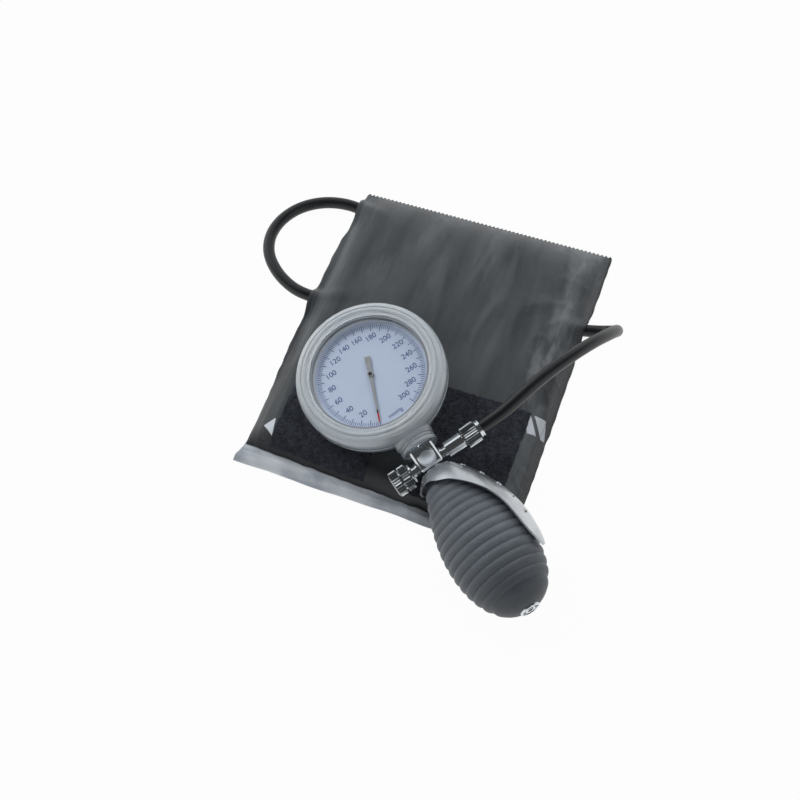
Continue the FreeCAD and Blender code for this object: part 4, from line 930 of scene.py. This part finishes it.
def lettered(words, height, x, y):
    clear_selection()
    bpy.ops.object.text_add()
    text = bpy.context.object
    text.data.body = words
    text.data.size = height * MM
    text.data.align_x = "CENTER"
    text.data.align_y = "CENTER"
    text.data.extrude = PRINT_THICKNESS / 2 * MM
    text.data.bevel_depth = FIGURE_BEVEL * MM
    text.data.bevel_resolution = 0
    bpy.ops.object.convert(target="MESH")
    settle(text, GAUGE @ shift(x, y, PRINT_LOW + FIGURE_LIFT) @ turn(90, "Z"))
    return text


def print_dial():
    scale_ticks("fine_dial_ticks", DIAL_END // 2, *FINE_TICKS)
    scale_ticks("long_dial_ticks", DIAL_END // 10, *LONG_TICKS)
    letters = [lettered("mmHg", UNIT_HEIGHT, *UNIT_SPOT)]
    for value in range(20, DIAL_END + 1, 20):
        angle = math.radians(DIAL_ZERO - DIAL_SWEEP * value / DIAL_END)
        x, y = FIGURE_REACH * math.cos(angle), FIGURE_REACH * math.sin(angle)
        letters.append(lettered(str(value), FIGURE_HEIGHT, x, y))
    hand_over(joined(letters, "dial_numerals"), "dial_print", finish=DIAL_INK)


def cap_pointer():
    cap = spun("pointer_hub_cap", [(6.55, 0), (6.55, 0.95), (6.75, 0.9), (6.85, 0.6), (6.85, 0)], 32)
    settle(cap, GAUGE @ STANDING)
    smooth(cap, 40)
    hand_over(cap, "needle_paint", body="pointer", finish=DARK_STEEL)


# Fittings

KNOB_OUTLINE = [
    (10.9, 2.7), (10.9, 5.5), (11.2, 6.1), (11.6, 6.4), (15.0, 6.4), (15.25, 6.15), (15.35, 5.6),
    (15.85, 5.6), (15.95, 6.15), (16.2, 6.4), (19.5, 6.4), (20.0, 6.1), (20.4, 5.4), (20.4, 0),
    (17.85, 0), (17.85, 1.55), (15.2, 1.55), (15.2, 2.7), (10.9, 2.7),
]
SLEEVE_OUTLINE = [
    (19.2, 3.98), (19.2, 4.6), (19.5, 5.05), (19.9, 5.3), (26.4, 5.3), (26.9, 5.05), (27.3, 4.6),
    (27.3, 3.98), (19.2, 3.98),
]
# Knurled rims: radius, number of flutes and how deep they are pressed
KNOB_RIM = 6.4
KNOB_FLUTES = 28
KNOB_PRESS = 0.5
SLEEVE_RIM = 5.3
SLEEVE_FLUTES = 26
SLEEVE_PRESS = 0.45


def knurled(name, outline, flutes, rim, depth):
    """Turned piece whose rim has every second line pressed in."""
    piece = spun(name, outline, 2 * flutes)
    only(piece)
    bpy.ops.object.mode_set(mode="EDIT")
    bpy.ops.mesh.select_all(action="DESELECT")
    bpy.ops.mesh.select_mode(type="VERT")
    shape = bmesh.from_edit_mesh(piece.data)
    for corner in shape.verts:
        line = round(math.atan2(corner.co.z, corner.co.y) / math.pi * flutes)
        corner.select_set(line % 2 == 1 and math.hypot(corner.co.y, corner.co.z) > (rim - 0.4) * MM)
    bmesh.update_edit_mesh(piece.data)
    share = 1 - depth / rim
    bpy.ops.transform.resize(value=(1, share, share), center_override=(0, 0, 0))
    bpy.ops.object.mode_set(mode="OBJECT")
    return piece


def turn_fittings():
    knob = knurled("knurled_valve_knob", KNOB_OUTLINE, KNOB_FLUTES, KNOB_RIM, KNOB_PRESS)
    settle(knob, VALVE)
    smooth(knob, 25)
    hand_over(knob, "bright_chrome", "knob", ["valve_knob"],
              knurl_chrome("valve_knob_chrome", VALVE, KNOB_RIM, 0.12))
    sleeve = knurled("knurled_coupling_sleeve", SLEEVE_OUTLINE, SLEEVE_FLUTES, SLEEVE_RIM, SLEEVE_PRESS)
    settle(sleeve, COUPLING)
    smooth(sleeve, 25)
    hand_over(sleeve, "bright_chrome", "sleeve", ["coupling_sleeve"],
              knurl_chrome("coupling_sleeve_chrome", COUPLING, SLEEVE_RIM, 0.03))


TAIL_OUTLINE = [
    (130.41, 2.7), (130.41, 4.0), (135.41, 4.0), (135.41, 4.95), (135.9, 4.9), (136.3, 4.6),
    (136.4, 4.3), (136.35, 4.05), (135.7, 3.85), (135.7, 2.75), (136.3, 2.5), (136.4, 2.25),
    (136.35, 1.8), (136.1, 1.6), (133.41, 1.6), (133.41, 2.7), (130.41, 2.7),
]
# Black ring in the groove of the tail valve's face: painted shade for the shaded recess
GROOVE_OUTLINE = [(135.7, 2.76), (135.7, 3.84), (135.95, 3.9), (136.0, 3.3), (135.95, 2.7), (135.7, 2.76)]


def turn_tail_valve():
    body = spun("tail_valve_body", TAIL_OUTLINE, 64)
    settle(body, HANDSET)
    smooth(body, 35)
    hand_over(body, "bright_chrome", instead_of=["inlet_valve_body"])
    # Painted shade: a black ring fills the groove, standing for the shaded recess in the valve's face
    groove = spun("tail_groove_painted_shade", GROOVE_OUTLINE, 64)
    settle(groove, HANDSET)
    smooth(groove, 35)
    hand_over(groove, "soft_seal", finish=FINISHES["black_rubber"])


HOLE_RIM = [
    (-0.5, 0.92), (0.05, 0.92), (0.22, 1.05), (0.26, 1.2), (0.18, 1.38), (-0.1, 1.5),
    (-0.5, 1.5), (-0.5, 0.92),
]


def punch_spoon():
    """Raised rims round the holes in the palm spoon."""
    rims = []
    for number, (along, out, slope) in enumerate(SPOON_HOLES):
        rim = spun("spoon_hole_rim_%d" % (number + 1), HOLE_RIM, 28)
        settle(rim, SPOON @ shift(along, out, 0) @ turn(90 + slope, "Z"))
        rims.append(rim)
    raised = joined(rims, "spoon_hole_rims")
    smooth(raised, 50)
    hand_over(raised, "bright_chrome", body="spoon")


mould_ring()
print_dial()
punch_spoon()
cap_pointer()
turn_fittings()
turn_tail_valve()
sew_panel()
sew_lining()
sew_pile("left_pile_patch", -57.5, -7.0, 1.4, -24.0, instead_of=["loop_patch"])
sew_pile("right_pile_patch", 15.0, 59.0, 3.0, -24.0)
sew_inside()
